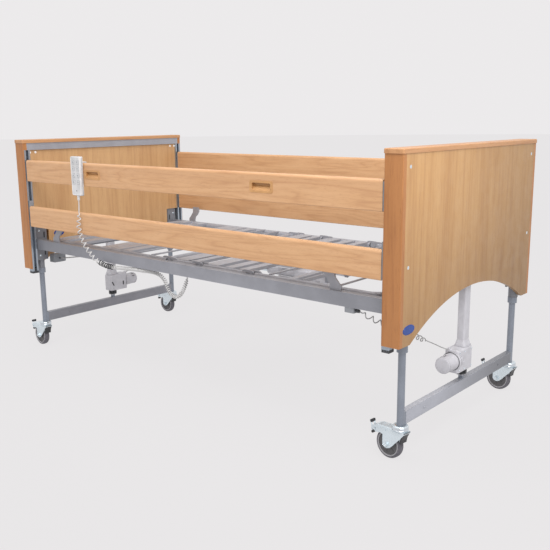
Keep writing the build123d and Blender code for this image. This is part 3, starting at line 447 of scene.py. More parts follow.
# end_frame_paint darkens below about 0.64 m, over the flanges: painted shade.
end_frame_paint = coat("end_frame_paint", (0.30, 0.305, 0.335), 0.36, 0.2, shade=(2, 0.64, 0.70, 0.62, 1.0))
BRIGHT_METAL = (0.95, 0.97, 1.0)
zinc = coat("zinc", (0.64, 0.71, 0.75), 0.20, 0.75, peel=300.0, depth=0.00001, wear=BRIGHT_METAL, dust=0.02)
chrome = coat("chrome", (0.62, 0.66, 0.70), 0.10, 1.0, peel=300.0, wear=BRIGHT_METAL, dust=0.02)
guide_aluminium = brushed("guide_aluminium", (0.36, 0.40, 0.45), (1, 1, 0.02))
black_plastic = moulded("black_plastic", (0.022, 0.023, 0.026), 0.42)
grey_plastic = moulded("grey_plastic", (0.23, 0.24, 0.26), 0.5)
dark_plastic = moulded("dark_plastic", (0.085, 0.09, 0.10), 0.5)
light_plastic = moulded("light_plastic", (0.49, 0.485, 0.515), 0.42, dust=0.04)
handset_plastic = moulded("handset_plastic", (0.60, 0.60, 0.605), 0.4, dust=0.03)
border_plastic = moulded("border_plastic", (0.71, 0.71, 0.71), 0.38, dust=0.02)
cup_plastic = moulded("cup_plastic", (0.52, 0.275, 0.105), 0.38, dust=0.04)
cup_shadow = moulded("cup_shadow", (0.40, 0.215, 0.095), 0.45, dust=0.02)
key_plastic = moulded("key_plastic", (0.56, 0.565, 0.57), 0.5, dust=0.03)
cap_plastic = moulded("cap_plastic", (0.85, 0.84, 0.82), 0.35, dust=0.02)
badge_blue = moulded("badge_blue", (0.01, 0.05, 0.26), 0.25, dust=0.01)
tyre_rubber = rubber("tyre_rubber", (0.105, 0.10, 0.115), 0.6)
hub_plastic = moulded("hub_plastic", (0.085, 0.082, 0.086), 0.5)
ring_plastic = moulded("ring_plastic", (0.30, 0.295, 0.31), 0.4)
cord_plastic = moulded("cord_plastic", (0.58, 0.575, 0.57), 0.45, depth=0.00003, dust=0.05)
cable_plastic = moulded("cable_plastic", (0.36, 0.355, 0.355), 0.42, depth=0.00003, dust=0.05)

SLOT_MATERIALS = {
    "panel_wood": panel_oak, "rail_wood": beam_oak, "guide_aluminium": guide_aluminium,
    "black_plastic": black_plastic, "zinc": zinc, "grey_tyre": tyre_rubber, "grey_plastic": grey_plastic,
    "cup_plastic": cup_plastic, "key_plastic": key_plastic, "light_plastic": light_plastic,
    "grey_paint": grey_paint,
}
for node_name, node in frame["nodes"].items():
    for holder in node.material_slots:
        holder.material = SLOT_MATERIALS[holder.material.name.split(".")[0]]
NODE_MATERIALS = {
    "edge_trims": trim_oak, "foot_panel": foot_panel_oak, "leg_collars": leg_paint,
    "foot_leg_frame": leg_paint, "head_leg_frame": leg_paint, "handset_case": handset_plastic,
    "foot_side_frame": frame_paint, "head_side_frame": head_frame_paint,
    "head_end_frame": end_frame_paint, "foot_end_frame": end_frame_paint,
}
for node_name, material in NODE_MATERIALS.items():
    for holder in frame["nodes"][node_name].material_slots:
        holder.material = material


# ---------------------------------------------------------------- cords
HANDSET_ROUTE = (
    (-0.5935, -0.52, 0.801), (-0.594, -0.521, 0.76), (-0.599, -0.523, 0.715), (-0.601, -0.525, 0.672),
    (-0.588, -0.523, 0.63), (-0.563, -0.519, 0.59), (-0.534, -0.512, 0.552), (-0.5, -0.5, 0.524),
    (-0.456, -0.489, 0.508), (-0.4, -0.479, 0.505), (-0.342, -0.473, 0.508), (-0.284, -0.469, 0.511),
    (-0.228, -0.466, 0.511), (-0.174, -0.459, 0.512), (-0.132, -0.451, 0.504), (-0.105, -0.447, 0.482),
    (-0.091, -0.447, 0.453), (-0.073, -0.447, 0.427), (-0.044, -0.447, 0.415), (-0.016, -0.446, 0.424),
    (0.001, -0.442, 0.446), (0.009, -0.436, 0.469), (0.013, -0.429, 0.489), (0.014, -0.424, 0.5095),
)
FOOT_ROUTE = (
    (0.9, -0.458, 0.512), (0.923, -0.457, 0.507), (0.947, -0.456, 0.498), (0.972, -0.454, 0.489),
    (0.998, -0.448, 0.48), (1.017, -0.432, 0.47), (1.028, -0.407, 0.46), (1.033, -0.372, 0.446),
    (1.034, -0.331, 0.427), (1.032, -0.284, 0.404), (1.031, -0.235, 0.382), (1.032, -0.184, 0.36),
    (1.038, -0.142, 0.34), (1.049, -0.113, 0.323), (1.061, -0.088, 0.312),
)
HEAD_ROUTE = (
    (-1.01, -0.37, 0.465), (-0.977, -0.37, 0.468), (-0.938, -0.369, 0.474), (-0.896, -0.367, 0.481),
    (-0.856, -0.36, 0.487), (-0.826, -0.338, 0.491), (-0.812, -0.3, 0.492), (-0.815, -0.254, 0.491),
    (-0.832, -0.208, 0.488), (-0.858, -0.164, 0.484), (-0.888, -0.122, 0.478), (-0.918, -0.078, 0.469),
    (-0.944, -0.032, 0.456), (-0.966, 0.016, 0.438), (-0.986, 0.062, 0.413), (-1.006, 0.1, 0.384),
    (-1.027, 0.128, 0.352), (-1.0456, 0.12, 0.3261), (-1.0609, 0.0882, 0.3121),
)


def route_line(points):
    """The smooth NURBS line of a route, as points close together."""
    data = bpy.data.curves.new("route", "CURVE")
    data.dimensions, data.resolution_u = "3D", 32
    spline = data.splines.new("NURBS")
    spline.points.add(len(points) - 1)
    for knot, place in zip(spline.points, points):
        knot.co = (*place, 1.0)
    spline.order_u = 3
    spline.use_endpoint_u = True
    holder = bpy.data.objects.new("route", data)
    mesh = bpy.data.meshes.new_from_object(holder)
    line = [v.co.copy() for v in mesh.vertices]
    bpy.data.objects.remove(holder)
    bpy.data.curves.remove(data)
    bpy.data.meshes.remove(mesh)
    return line


def curl(line, coil, step=0.0022):
    """A helix round a line. coil(share, place) gives (radius of the helix, pitch); radius 0 is straight."""
    ends = [0.0]
    for a, b in zip(line, line[1:]):
        ends.append(ends[-1] + (b - a).length)
    frames, total = frames_along(line), ends[-1]
    out, travelled, turned, i = [], 0.0, 0.0, 0
    while travelled < total:
        while ends[i + 1] < travelled:
            i += 1
        t = (travelled - ends[i]) / max(1e-9, ends[i + 1] - ends[i])
        place = line[i].lerp(line[i + 1], t)
        _, side, up = frames[i]
        radius, pitch = coil(travelled / total, place)
        out.append(place + side * (radius * math.cos(turned)) + up * (radius * math.sin(turned)))
        ahead = step / math.hypot(1.0, 2 * math.pi * radius / pitch)
        turned += 2 * math.pi * ahead / pitch
        travelled += ahead
    if (line[-1] - out[-1]).length < step / 2:
        out.pop()
    out.append(line[-1].copy())
    return out


def ease(value, low, high):
    t = min(1.0, max(0.0, (value - low) / (high - low)))
    return t * t * (3 - 2 * t)


COIL_STARTS, COIL_OPEN = 0.75, 0.72  # heights between which the handset cord's first turn opens
LIFT_COIL_ENDS = (-0.235, -0.195)    # Y over which the foot cable's last turn closes


def handset_coil(share, place):
    """Straight below the handset, loose coils down to the frame, tight ones under it."""
    opened = ease(-place.z, -COIL_STARTS, -COIL_OPEN) * ease(1.0 - share, 0.0, 0.03)
    loose = 1.0 - ease(share, 0.33, 0.40)
    wobble = 0.0018 * math.sin(61 * share) + 0.0012 * math.sin(143 * share + 1.0)
    pitch = 0.0094 + 0.0113 * loose + 0.0035 * (1.0 - ease(place.x, -0.43, -0.38)) + wobble * loose
    return opened * (0.0066 + 0.0018 * loose + 0.3 * wobble * loose), pitch


def lift_coil(share, place):
    """A few wide, loose turns, then straight over the last stretch to the motor."""
    opened = ease(share, 0.03, 0.09) * (1.0 - ease(place.y, *LIFT_COIL_ENDS))
    return 0.0085 * opened, 0.030 + 0.003 * math.sin(23 * share)


def plain(_share, _place):
    """No turns: a radius of nothing, and any pitch."""
    return 0.0, 0.01


def curly_cord(name, route, coil, thick, material, node, bodies, start, end):
    """A curly cord along a route, with its own wire's diameter."""
    path = curl(route_line(route), coil)
    bm = bmesh.new()
    sweep(bm, path, thick / 2, 8)
    obj = finish_mesh(name, bm, material, None, sharp=70, replaces=(node,))
    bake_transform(obj)
    return obj


# The handset cord meets the upper rail at the first place, and the bed frame at the second.
CORD_SWING = ((-0.594, -0.521, 0.80), (-0.20, -0.47, 0.35))
# Where along the handset's cord the black spiral lies, with its coil and its wire; it makes that stretch of
# the cord look dark.
SPIRAL_FROM, SPIRAL_TO, SPIRAL_TOP = -0.492, -0.412, 0.53
SPIRAL_COIL = (0.0101, 0.0112)
SPIRAL_THICK = 0.0017


def black_spiral():
    """A black spiral round the handset's cord where it reaches the side frame, which makes that stretch of
    the cord look dark.
    """
    line = [p for p in route_line(HANDSET_ROUTE) if SPIRAL_FROM < p.x < SPIRAL_TO and p.z < SPIRAL_TOP]
    bm = bmesh.new()
    sweep(bm, curl(line, lambda _share, _place: SPIRAL_COIL), SPIRAL_THICK, 8, 1.5)
    obj = finish_mesh("cord_spiral_wrap", bm, black_plastic, None, sharp=70)
    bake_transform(obj)


black_spiral()
curly_cord("handset_curly_cord", HANDSET_ROUTE, handset_coil, 0.0050, cord_plastic, "handset_cord",
           ("near_upper", "root"), *CORD_SWING)
curly_cord("foot_lift_curly_cable", FOOT_ROUTE, lift_coil, 0.0040, cable_plastic, "foot_lift_cable",
           ("root", "foot_legs"), FOOT_ROUTE[0], FOOT_ROUTE[-1])
curly_cord("head_lift_plain_cable", HEAD_ROUTE, plain, 0.0055, cable_plastic, "head_lift_cable",
           ("root", "head_legs"), HEAD_ROUTE[0], HEAD_ROUTE[-1])


# ---------------------------------------------------------------- casters
# Turned profiles are (radius, height) pairs. Lines in a caster's own plane are (along its trail, height).
HUB = [(0.0042, 0.0148), (0.0095, 0.0148), (0.0105, 0.0118), (0.0140, 0.0112), (0.0155, 0.0098),
       (0.0350, 0.0090), (0.0385, 0.0096), (0.0400, 0.0118)]
RIM_RING = [(0.0400, 0.0118), (0.0412, 0.0136), (0.0436, 0.0138), (0.0446, 0.0126)]
TYRE = [(0.0446, 0.0126), (0.0462, 0.0138), (0.0488, 0.0126), (0.0512, 0.0102), (0.0524, 0.0075),
        (0.0527, 0.0050), (0.0522, 0.0046), (0.0522, 0.0038), (0.0529, 0.0034), (0.0530, 0.0)]
WHEEL_BORE = [(0.0042, -0.0148), (0.0042, 0.0148)]
BALL_RACE = [(0.0200, 0.1165), (0.0282, 0.1170), (0.0290, 0.1182), (0.0284, 0.1196), (0.0272, 0.1200),
             (0.0271, 0.1214), (0.0284, 0.1218), (0.0291, 0.1236), (0.0288, 0.1268), (0.0274, 0.1300),
             (0.0240, 0.1326), (0.0180, 0.1338), (0.0150, 0.1338)]
FORK_FOLD = ((-0.016, 0.1085, 0.0192), (0.000, 0.1092, 0.0193), (0.030, 0.1100, 0.0193),
             (0.062, 0.1092, 0.0193), (0.088, 0.1050, 0.0192), (0.106, 0.0985, 0.0191))
FORK_LIP = ((0.0140, 0.0590), (0.0300, 0.0440), (0.0430, 0.0396), (0.0535, 0.0420), (0.0600, 0.0485),
            (0.0604, 0.0840))
FORK_LIP_SIDE = 0.0190
# Outline and size of the black plate in front of the fork, which is painted shade.
SHADE_PLATE_LINE = ((-0.0318, 0.1125), (-0.0262, 0.1020), (-0.0200, 0.0900), (-0.0170, 0.0790), (-0.0158, 0.0700))
SHADE_PLATE_THICK, SHADE_PLATE_HALF_WIDTH = 0.0055, 0.0172
AXLE_NUT_SIDE = 0.0228
PEDAL_PIN = (0.098, 0.095)
PEDAL_PAD = (0.117, 0.095)
PEDAL_NECK = ((0.1165, 0.0800), (0.1190, 0.0880), (0.1185, 0.0950), (0.1190, 0.1020), (0.1215, 0.1100))
WHEEL_RIBS, PAD_LOBES = 6, 3


def joint_place(name):
    return Vector(next(j["pos_m"] for j in frame["record"]["behaviour"]["joints"] if j["name"] == name))


def turned(bm, origin, normal, profile, steps=40, index=0):
    lathe(bm, profile, looking(origin, normal), steps, index)


def screw_head(bm, origin, normal, radius, index=0):
    """A low domed head with a hexagonal socket."""
    place = looking(origin, normal)
    dome = [(radius, 0), (radius, radius * 0.28), (radius * 0.8, radius * 0.5), (radius * 0.5, radius * 0.56)]
    socket = [(radius * 0.5, radius * 0.56), (radius * 0.46, radius * 0.2), (0, radius * 0.18)]
    lathe(bm, dome, place, 24, index)
    lathe(bm, socket, place, 24, index)


def nut(bm, origin, normal, radius, height, index=0):
    """A hexagonal nut with a round flange."""
    place = looking(origin, normal)
    flange = [(0, 0), (radius * 1.28, 0), (radius * 1.28, height * 0.22), (radius * 1.05, height * 0.25)]
    hexagon = [(radius * 1.05, height * 0.25), (radius, height * 0.9), (radius * 0.88, height), (0, height)]
    lathe(bm, flange, place, 28, index)
    lathe(bm, hexagon, place, 6, index)


class CasterPlan:
    """Where one caster stands, and the way it trails."""

    def __init__(self, corner):
        swivel, roll = joint_place(corner + "_swivel"), joint_place(corner + "_roll")
        trail = Vector((roll.x - swivel.x, roll.y - swivel.y, 0))
        self.corner = corner
        self.base = Vector((swivel.x, swivel.y, 0))
        self.length, self.trail = trail.length, trail.normalized()
        self.across = Z.cross(self.trail)
        self.axle_height = roll.z

    def at(self, along, height, across=0.0):
        return self.base + self.trail * along + Z * height + self.across * across

    def axle(self, across=0.0):
        return self.at(self.length, self.axle_height, across)


def caster_wheel(plan):
    bm = bmesh.new()
    for side in (-1, 1):
        hub = looking(plan.axle(), plan.across * side)
        lathe(bm, HUB, hub, 56, 2)
        lathe(bm, RIM_RING, hub, 56, 1)
        lathe(bm, TYRE, hub, 56, 0)
        for k in range(WHEEL_RIBS):
            a = math.tau * k / WHEEL_RIBS + 0.3
            rib = hub @ Matrix.Rotation(a, 4, "Z") @ Matrix.Translation((0.0245, 0, 0))
            prism(bm, rounded(0.019, 0.0026, 0.0011, 3), rib, 0.0088, 0.0106, 2, 0.94)
    lathe(bm, WHEEL_BORE, looking(plan.axle(), plan.across), 56, 2)
    finish_mesh(plan.corner + "_tyre_and_hub", bm, (tyre_rubber, ring_plastic, hub_plastic),
                plan.corner + "_roller", sharp=38, replaces=(plan.corner + "_wheel",))


def caster_race(plan):
    bm = bmesh.new()
    lathe(bm, BALL_RACE, Matrix.Translation(plan.base), 56, 0)
    finish_mesh(plan.corner + "_ball_race", bm, chrome, plan.corner + "_caster", sharp=50)


def fork_trim(plan):
    """Axle nuts, the heads of the pedal's pin, and the folded edges of the pressed fork."""
    bm = bmesh.new()
    for side in (-1, 1):
        nut(bm, plan.axle(side * AXLE_NUT_SIDE), plan.across * side, 0.0066, 0.0052)
        turned(bm, plan.at(*PEDAL_PIN, side * 0.0203), plan.across * side,
               [(0.0045, 0), (0.0042, 0.0012), (0, 0.0015)], 24)
        sweep(bm, [plan.at(x, z, side * y) for x, z, y in FORK_FOLD], 0.0009, 8)
        sweep(bm, [plan.at(x, z, side * FORK_LIP_SIDE) for x, z in FORK_LIP], 0.0010, 8)
    finish_mesh(plan.corner + "_fork_trim", bm, zinc, plan.corner + "_caster", sharp=40)


def fork_shade_plate(plan):
    """A black curved plate in front of the fork, painted shade for the fork's shaded inside: two curved
    faces, closed round their edges.
    """
    bm = bmesh.new()
    rings = []
    outer = [plan.at(x, z) for x, z in SHADE_PLATE_LINE]
    for line in (outer, [p + plan.trail * SHADE_PLATE_THICK for p in outer]):
        rows = [[bm.verts.new(p + plan.across * (SHADE_PLATE_HALF_WIDTH * w)) for w in (-1, -0.6, 0, 0.6, 1)]
                for p in line]
        for upper, lower in zip(rows, rows[1:]):
            for c in range(len(upper) - 1):
                bm.faces.new((upper[c], upper[c + 1], lower[c + 1], lower[c]))
        rings.append([row[0] for row in rows] + rows[-1][1:] + [row[-1] for row in rows[::-1]][1:]
                     + rows[0][-2:0:-1])
    ring_a, ring_b = rings
    for k in range(len(ring_a)):
        j = (k + 1) % len(ring_a)
        bm.faces.new((ring_a[k], ring_a[j], ring_b[j], ring_b[k]))
    finish_mesh(plan.corner + "_fork_shade_plate", bm, black_plastic, plan.corner + "_caster",
                sharp=40, bevel=0.0008)


def rocker_pedal(plan):
    """Two black pads, each with raised lobes, on a zinc neck over the pedal's pin; the pads' black is partly
    the pedal's own colour and partly painted shade.
    """
    bm = bmesh.new()
    facing = looking(plan.at(*PEDAL_PAD), plan.trail)
    upper = facing @ Matrix.Translation((0, 0.0185, 0.0045)) @ Matrix.Rotation(math.radians(13), 4, "X")
    lower = facing @ Matrix.Translation((0, -0.0205, -0.0005)) @ Matrix.Rotation(math.radians(-12), 4, "X")
    for place, half in ((upper, 0.0125), (lower, 0.0100)):
        prism(bm, rounded(2 * half, 0.0110, 0.0045, 5), place, -0.0022, 0.0022, 0, 0.95)
        for k in range(PAD_LOBES):
            u = half * ((k + 0.5) * 2 / PAD_LOBES - 1)
            lobe = [place @ Vector((u, v, 0.0022)) for v in (-0.0055, -0.002, 0.002, 0.0055)]
            sweep(bm, lobe, [0.0014, 0.0027, 0.0029, 0.0016], 10, 0.8)
    for across in (-0.0085, 0.0085):
        sweep(bm, [plan.at(x, z) + plan.across * across for x, z in PEDAL_NECK], 0.0024, 10, 0.7, 1)
    arm = looking(plan.at(0.107, 0.0915), plan.across)
    prism(bm, rounded(0.021, 0.0062, 0.0025, 4), arm, -0.0136, 0.0136, 1)
    turned(bm, plan.at(*PEDAL_PIN, -0.0137), plan.across,
           [(0, 0), (0.0060, 0), (0.0064, 0.0006), (0.0064, 0.0268), (0.0060, 0.0274), (0, 0.0274)], 28, 1)
    finish_mesh(plan.corner + "_rocker_pedal", bm, (black_plastic, zinc), plan.corner + "_brake",
                sharp=35, bevel=0.0006, replaces=(plan.corner + "_pedal",))


for corner_name in ("foot_near", "foot_far", "head_near", "head_far"):
    caster_plan = CasterPlan(corner_name)
    caster_wheel(caster_plan)
    caster_race(caster_plan)
    fork_trim(caster_plan)
    fork_shade_plate(caster_plan)
    rocker_pedal(caster_plan)


# ---------------------------------------------------------------- lifting motors
MOTOR_AXIS_X, MOTOR_AXIS_Z = 1.072, 0.267
HOUSING_FRONT, HOUSING_BACK = 0.027, 0.032
CLEVIS_Z = 0.2085
PLUG_FROM, PLUG_LEAN = (1.061, 0.088, 0.312), (12, -25, -11)


def motor_trim(end, out, reach):
    """Seams, screws, plug, spindle cap and the motor's rings, for one lifting motor."""
    axis, go = Vector((out * MOTOR_AXIS_X, 0, MOTOR_AXIS_Z)), Y * reach
    bm = bmesh.new()
    turned(bm, axis + go * 0.0744, go,
           [(0.0372, 0), (0.0372, 0.0082), (0.0352, 0.0090), (0.0338, 0.0082), (0.0334, 0.0)], 64, 0)
    turned(bm, axis + go * 0.1442, go,
           [(0.0312, 0), (0.0316, 0.0004), (0.0316, 0.0018), (0.0311, 0.0022)], 64, 0)
    turned(bm, axis + go * 0.1518, go,
           [(0.0262, 0), (0.0262, 0.0008), (0.0250, 0.0012), (0.0, 0.0013)], 56, 0)
    for k in range(4):
        a = math.tau * (k + 0.5) / 4
        spot = axis + go * 0.0822 + X * (math.cos(a) * 0.0262 * out) + Z * (math.sin(a) * 0.0262 * 1.45)
        screw_head(bm, spot, go, 0.0026, 1)
    plug = Vector((out * PLUG_FROM[0], reach * PLUG_FROM[1], PLUG_FROM[2]))
    lean = Vector((out * PLUG_LEAN[0], reach * PLUG_LEAN[1], PLUG_LEAN[2])).normalized()
    for k in range(4):
        turned(bm, plug + lean * (0.001 + 0.0042 * k), lean,
               [(0.0068, 0), (0.0078, 0.0005), (0.0078, 0.0024), (0.0068, 0.0029)], 28, 0)
    cover = out * (LEG_X + HOUSING_FRONT)
    for y in (-0.022, 0.034, 0.072):
        for z in (0.234, 0.300):
            screw_head(bm, Vector((cover - out * 0.0002, reach * y, z)), X * out, 0.0030, 1)
    turned(bm, Vector((cover + out * 0.0035, reach * 0.056, 0.272)), X * out,
           [(0.0118, 0), (0.0118, 0.0012), (0.0100, 0.0020), (0.0094, 0.0012), (0, 0.0014)], 40, 0)
    seam = rounded(0.0470, 0.0590, 0.0105, 6, (out * LEG_X, 0))
    bead(bm, [Vector((x, y, 0.3135)) for x, y in seam], 0.0010, 6)
    finish_mesh(end + "_motor_trim", bm, (light_plastic, zinc), end + "_legs", sharp=40)


def motor_dark_parts(end, out, reach):
    """The black ring, slots and clevis of one lifting motor."""
    axis, go = Vector((out * MOTOR_AXIS_X, 0, MOTOR_AXIS_Z)), Y * reach
    bm = bmesh.new()
    turned(bm, axis + go * 0.0815, go, [(0.0345, 0), (0.0345, 0.0024), (0.0325, 0.0027), (0.0325, 0)], 64)
    inner = out * (LEG_X - HOUSING_BACK)
    # The slots are thin black plates on the housing: their black is painted shade for the open slots.
    for y, z, lean_deg, high in ((-0.018, 0.262, 28, 0.026), (0.052, 0.258, 0, 0.022)):
        upright = looking(Vector((inner, reach * y, z)), X * -out)
        prism(bm, rounded(0.007, high, 0.003, 4), upright @ Matrix.Rotation(math.radians(lean_deg), 4, "Z"),
              -0.001, 0.0007)
    for a in (35, 60, 85):
        side = X * (-out * math.cos(math.radians(a))) + Z * math.sin(math.radians(a))
        place = looking(axis + go * 0.128 + side * 0.0312, side, go)
        prism(bm, rounded(0.0032, 0.018, 0.0015, 3), place, -0.001, 0.0006)
    for x in (-1, 1):
        cheek = looking(Vector((out * LEG_X + x * 0.0122, 0, CLEVIS_Z)), X * x)
        prism(bm, rounded(0.034, 0.021, 0.007, 6), cheek, -0.002, 0.0022, 0, 0.93)
        turned(bm, cheek @ Vector((0, 0, 0.002)), X * x,
               [(0.0085, 0), (0.0085, 0.003), (0.007, 0.0045), (0, 0.0047)], 28)
    for y in (-1, 1):
        cheek = looking(Vector((out * LEG_X, y * 0.0162, CLEVIS_Z)), Y * y)
        prism(bm, rounded(0.0262, 0.021, 0.005, 5), cheek, -0.002, 0.0016, 0, 0.93)
        turned(bm, cheek @ Vector((0, 0, 0.0014)), Y * y,
               [(0.0075, 0), (0.0075, 0.003), (0.006, 0.0042), (0, 0.0044)], 28)
    finish_mesh(end + "_motor_dark_parts", bm, black_plastic, end + "_legs", sharp=40)


for end_name, end_out, motor_reach in (("foot", 1, -1), ("head", -1, 1)):
    motor_trim(end_name, end_out, motor_reach)
    motor_dark_parts(end_name, end_out, motor_reach)


# ---------------------------------------------------------------- crossbars
CROSSBAR_Z = 0.157
CROSSBAR_SKIN = (0.0258, 0.0468, 0.0025)
CROSSBAR_SKIN_HALF = 0.4240


def crossbar_skins():
    """The painted cover of each crossbar between the legs, folded round all four sides and lighter than the
    legs; the foot cover is made lighter and the head cover darker as painted light and shade, and each
    darkens across the bed as painted shade.
    """
    for end, out, paint in (("foot", 1, foot_bar_paint), ("head", -1, head_bar_paint)):
        bm = bmesh.new()
        prism(bm, rounded(*CROSSBAR_SKIN, 5), axes((out * LEG_X, 0, CROSSBAR_Z), X, Z, Y),
              -CROSSBAR_SKIN_HALF, CROSSBAR_SKIN_HALF)
        for x in (-1, 1):
            for y in (-0.30, 0.30):
                screw_head(bm, Vector((out * LEG_X + x * 0.0128, y, CROSSBAR_Z)), X * x, 0.0042, 1)
        finish_mesh(end + "_crossbar_skin", bm, (paint, paint), end + "_legs", sharp=35)


crossbar_skins()


# ---------------------------------------------------------------- handset
HANDSET_MIDDLE_Z = 0.912
HANDSET_Y = -0.520
KEY_COLUMNS = ((-0.610, "left"), (-0.577, "right"))
KEY_ROWS = (0.975, 0.945, 0.915, 0.885)
HOOK_X = 0.0180
HOOK_LINE = ((-0.512, 0.9765), (-0.495, 0.9768), (-0.4812, 0.9755), (-0.4805, 0.9560), (-0.4805, 0.9380))


def tapered(outline):
    """The handset's outline, which is wider at the top."""
    return [(u * (1.0 + 0.30 * v), v) for u, v in outline]


def handset_relief():
    """Border, parting line, key wells, lamp, strain relief and the edges of the hook."""
    low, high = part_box("handset_case")
    face, middle = low[1], (low[0] + high[0]) / 2
    bm = bmesh.new()
    front = looking(Vector((middle, face + 0.0002, HANDSET_MIDDLE_Z)), -Y)
    border = tapered(rounded(0.0640, 0.1690, 0.0040, 8))
    bead(bm, [front @ Vector((u, v, 0.0006)) for u, v in border], 0.0012)
    waist = looking(Vector((middle, face + 0.0105, HANDSET_MIDDLE_Z)), -Y)
    parting = tapered(rounded(0.0712, 0.1764, 0.0055, 8))
    bead(bm, [waist @ Vector((u, v, 0)) for u, v in parting], 0.0007, index=1)
    for x, _ in KEY_COLUMNS:
        for z in KEY_ROWS:
            well = looking(Vector((x, face + 0.0001, z)), -Y)
            edge = rounded(0.0212, 0.0182, 0.0034, 5)
            bead(bm, [well @ Vector((u, v, 0.0)) for u, v in edge], 0.0005, 6, 1)
    turned(bm, Vector((middle, face + 0.0004, 0.846)), -Y,
           [(0.0034, 0), (0.0034, 0.0008), (0.0024, 0.0012), (0, 0.0013)], 28, 1)
    for k in range(6):
        wide = 0.0068 - 0.0002 * k
        turned(bm, Vector((middle, HANDSET_Y, 0.8215 - 0.0030 * k)), -Z,
               [(0.0056, 0), (wide, 0.0005), (wide, 0.0018), (0.0056, 0.0022)], 28, 0)
    hook = [Vector((middle + HOOK_X, y, z)) for y, z in HOOK_LINE]
    sweep(bm, hook, 0.0009, 8, index=0)
    sweep(bm, [p - X * (2 * HOOK_X) for p in hook], 0.0009, 8, index=0)
    finish_mesh("handset_border_and_relief", bm, (border_plastic, grey_plastic), "near_upper",
                sharp=40)


def key_arrows():
    """A plain raised triangle on each key, up on the left and down on the right."""
    for x, side in KEY_COLUMNS:
        up = 1 if side == "left" else -1
        arrow = [(-0.0042, -0.0028 * up), (0.0042, -0.0028 * up), (0.0, 0.0040 * up)]
        for row, z in enumerate(KEY_ROWS, start=1):
            key = "key_%d_%s" % (row, side)
            bm = bmesh.new()
            prism(bm, arrow, looking(Vector((x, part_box(key)[0][1] + 0.0002, z)), -Y), 0.0, 0.0005)
            finish_mesh("key_arrow_%d_%s" % (row, side), bm, grey_plastic, key + "_cap",
                        sharp=30)


handset_relief()
key_arrows()


# ---------------------------------------------------------------- finger cups, screws, plates and feet
CUP_X, CUP_Z, CUP_HALF = (-0.496, 0.513), 0.920, 0.0442
CUP_RAMP = [(0.5086, -0.0141), (0.4958, -0.0141), (0.4958, 0.0040), (0.4985, 0.0020), (0.5040, -0.0060)]
CUP_LID = [(0.5085, 0.0142), (0.4958, 0.0142), (0.4958, 0.0080), (0.5030, 0.0096)]
CORNERS = [(end, side) for end in (-1, 1) for side in (-1, 1)]
FLANGE_X = 1.0523
FOOT_RIBS = 5


def cup_details(side, body):
    """The ramp, lid, rim and lip of the two finger cups in one upper beam."""
    bm = bmesh.new()
    out = -1 if side == "near" else 1
    for x in CUP_X:
        place = axes((x, 0, CUP_Z), Y * out, Z, X)
        prism(bm, CUP_RAMP, place, -CUP_HALF, CUP_HALF, 0)
        prism(bm, CUP_LID, place, -CUP_HALF, CUP_HALF, 1)
        for outline, y, thick in ((rounded(0.1100, 0.0420, 0.0085, 7), 0.5093, 0.0010),
                                  (rounded(0.0905, 0.0285, 0.0072, 7), 0.5092, 0.0008)):
            bead(bm, [Vector((x + u, out * y, CUP_Z + v)) for u, v in outline], thick)
    finish_mesh(side + "_cup_ramps", bm, (cup_plastic, cup_shadow), body, sharp=30,
                bevel=0.0004)


def board_screw_caps():
    bm = bmesh.new()
    for end, side in CORNERS:
        for y in (0.443, 0.474):
            turned(bm, Vector((end * 1.0460, side * y, 1.006)), X * -end,
                   [(0.0062, 0), (0.0060, 0.0010), (0.0045, 0.0017), (0, 0.0019)], 28)
    finish_mesh("inner_board_screw_caps", bm, cap_plastic, "root", sharp=50)


def oval_plates():
    """The two badges, made as plain blank plates."""
    bm = bmesh.new()
    for origin, half in (((1.1070, -0.4575, 0.4790), 0.037), ((-1.0460, -0.3400, 0.5900), 0.030)):
        place = looking(Vector(origin), X)
        oval = ellipse(half, 0.0165, 48)
        prism(bm, oval, place, 0.0, 0.0010, 0, 0.97)
        bead(bm, [place @ Vector((u * 0.86, v * 0.80, 0.0011)) for u, v in oval], 0.0004, 6)
    finish_mesh("plain_oval_plates", bm, badge_blue, "root", sharp=40)


def cable_glands():
    """The ribbed bushes where the lifting cables leave their junction boxes."""
    bm = bmesh.new()
    for start, aim, radius in ((FOOT_ROUTE[0], (23, 1, -5), 0.0085), (HEAD_ROUTE[0], (33, 0, 3), 0.0048)):
        for k in range(5):
            spot = Vector(start) + Vector(aim).normalized() * 0.0030 * k
            wide = radius * (1 - 0.09 * k)
            turned(bm, spot, aim, [(wide * 0.8, 0), (wide, 0.0004), (wide, 0.0020), (wide * 0.8, 0.0026)], 24)
    finish_mesh("cable_glands", bm, dark_plastic, "root", sharp=40)


def guide_foot_ribs():
    """Grip ribs on the plastic feet of the rail guides, and a plate under each foot."""
    bm = bmesh.new()
    for end, side in CORNERS:
        for k in range(FOOT_RIBS):
            for y, facing in ((0.4788, -1), (0.5112, 1)):
                place = looking(Vector((end * (1.0400 + 0.0060 * k), side * y, 0.4072)), Y * side * facing)
                prism(bm, rounded(0.0026, 0.0085, 0.0010, 3), place, -0.0006, 0.0006)
        plate = looking(Vector((end * 1.0520, side * 0.495, 0.4125)), Z)
        prism(bm, rounded(0.0296, 0.0316, 0.0022, 4), plate, -0.0006, 0.0006)
    finish_mesh("guide_foot_ribs", bm, dark_plastic, "root", sharp=40)


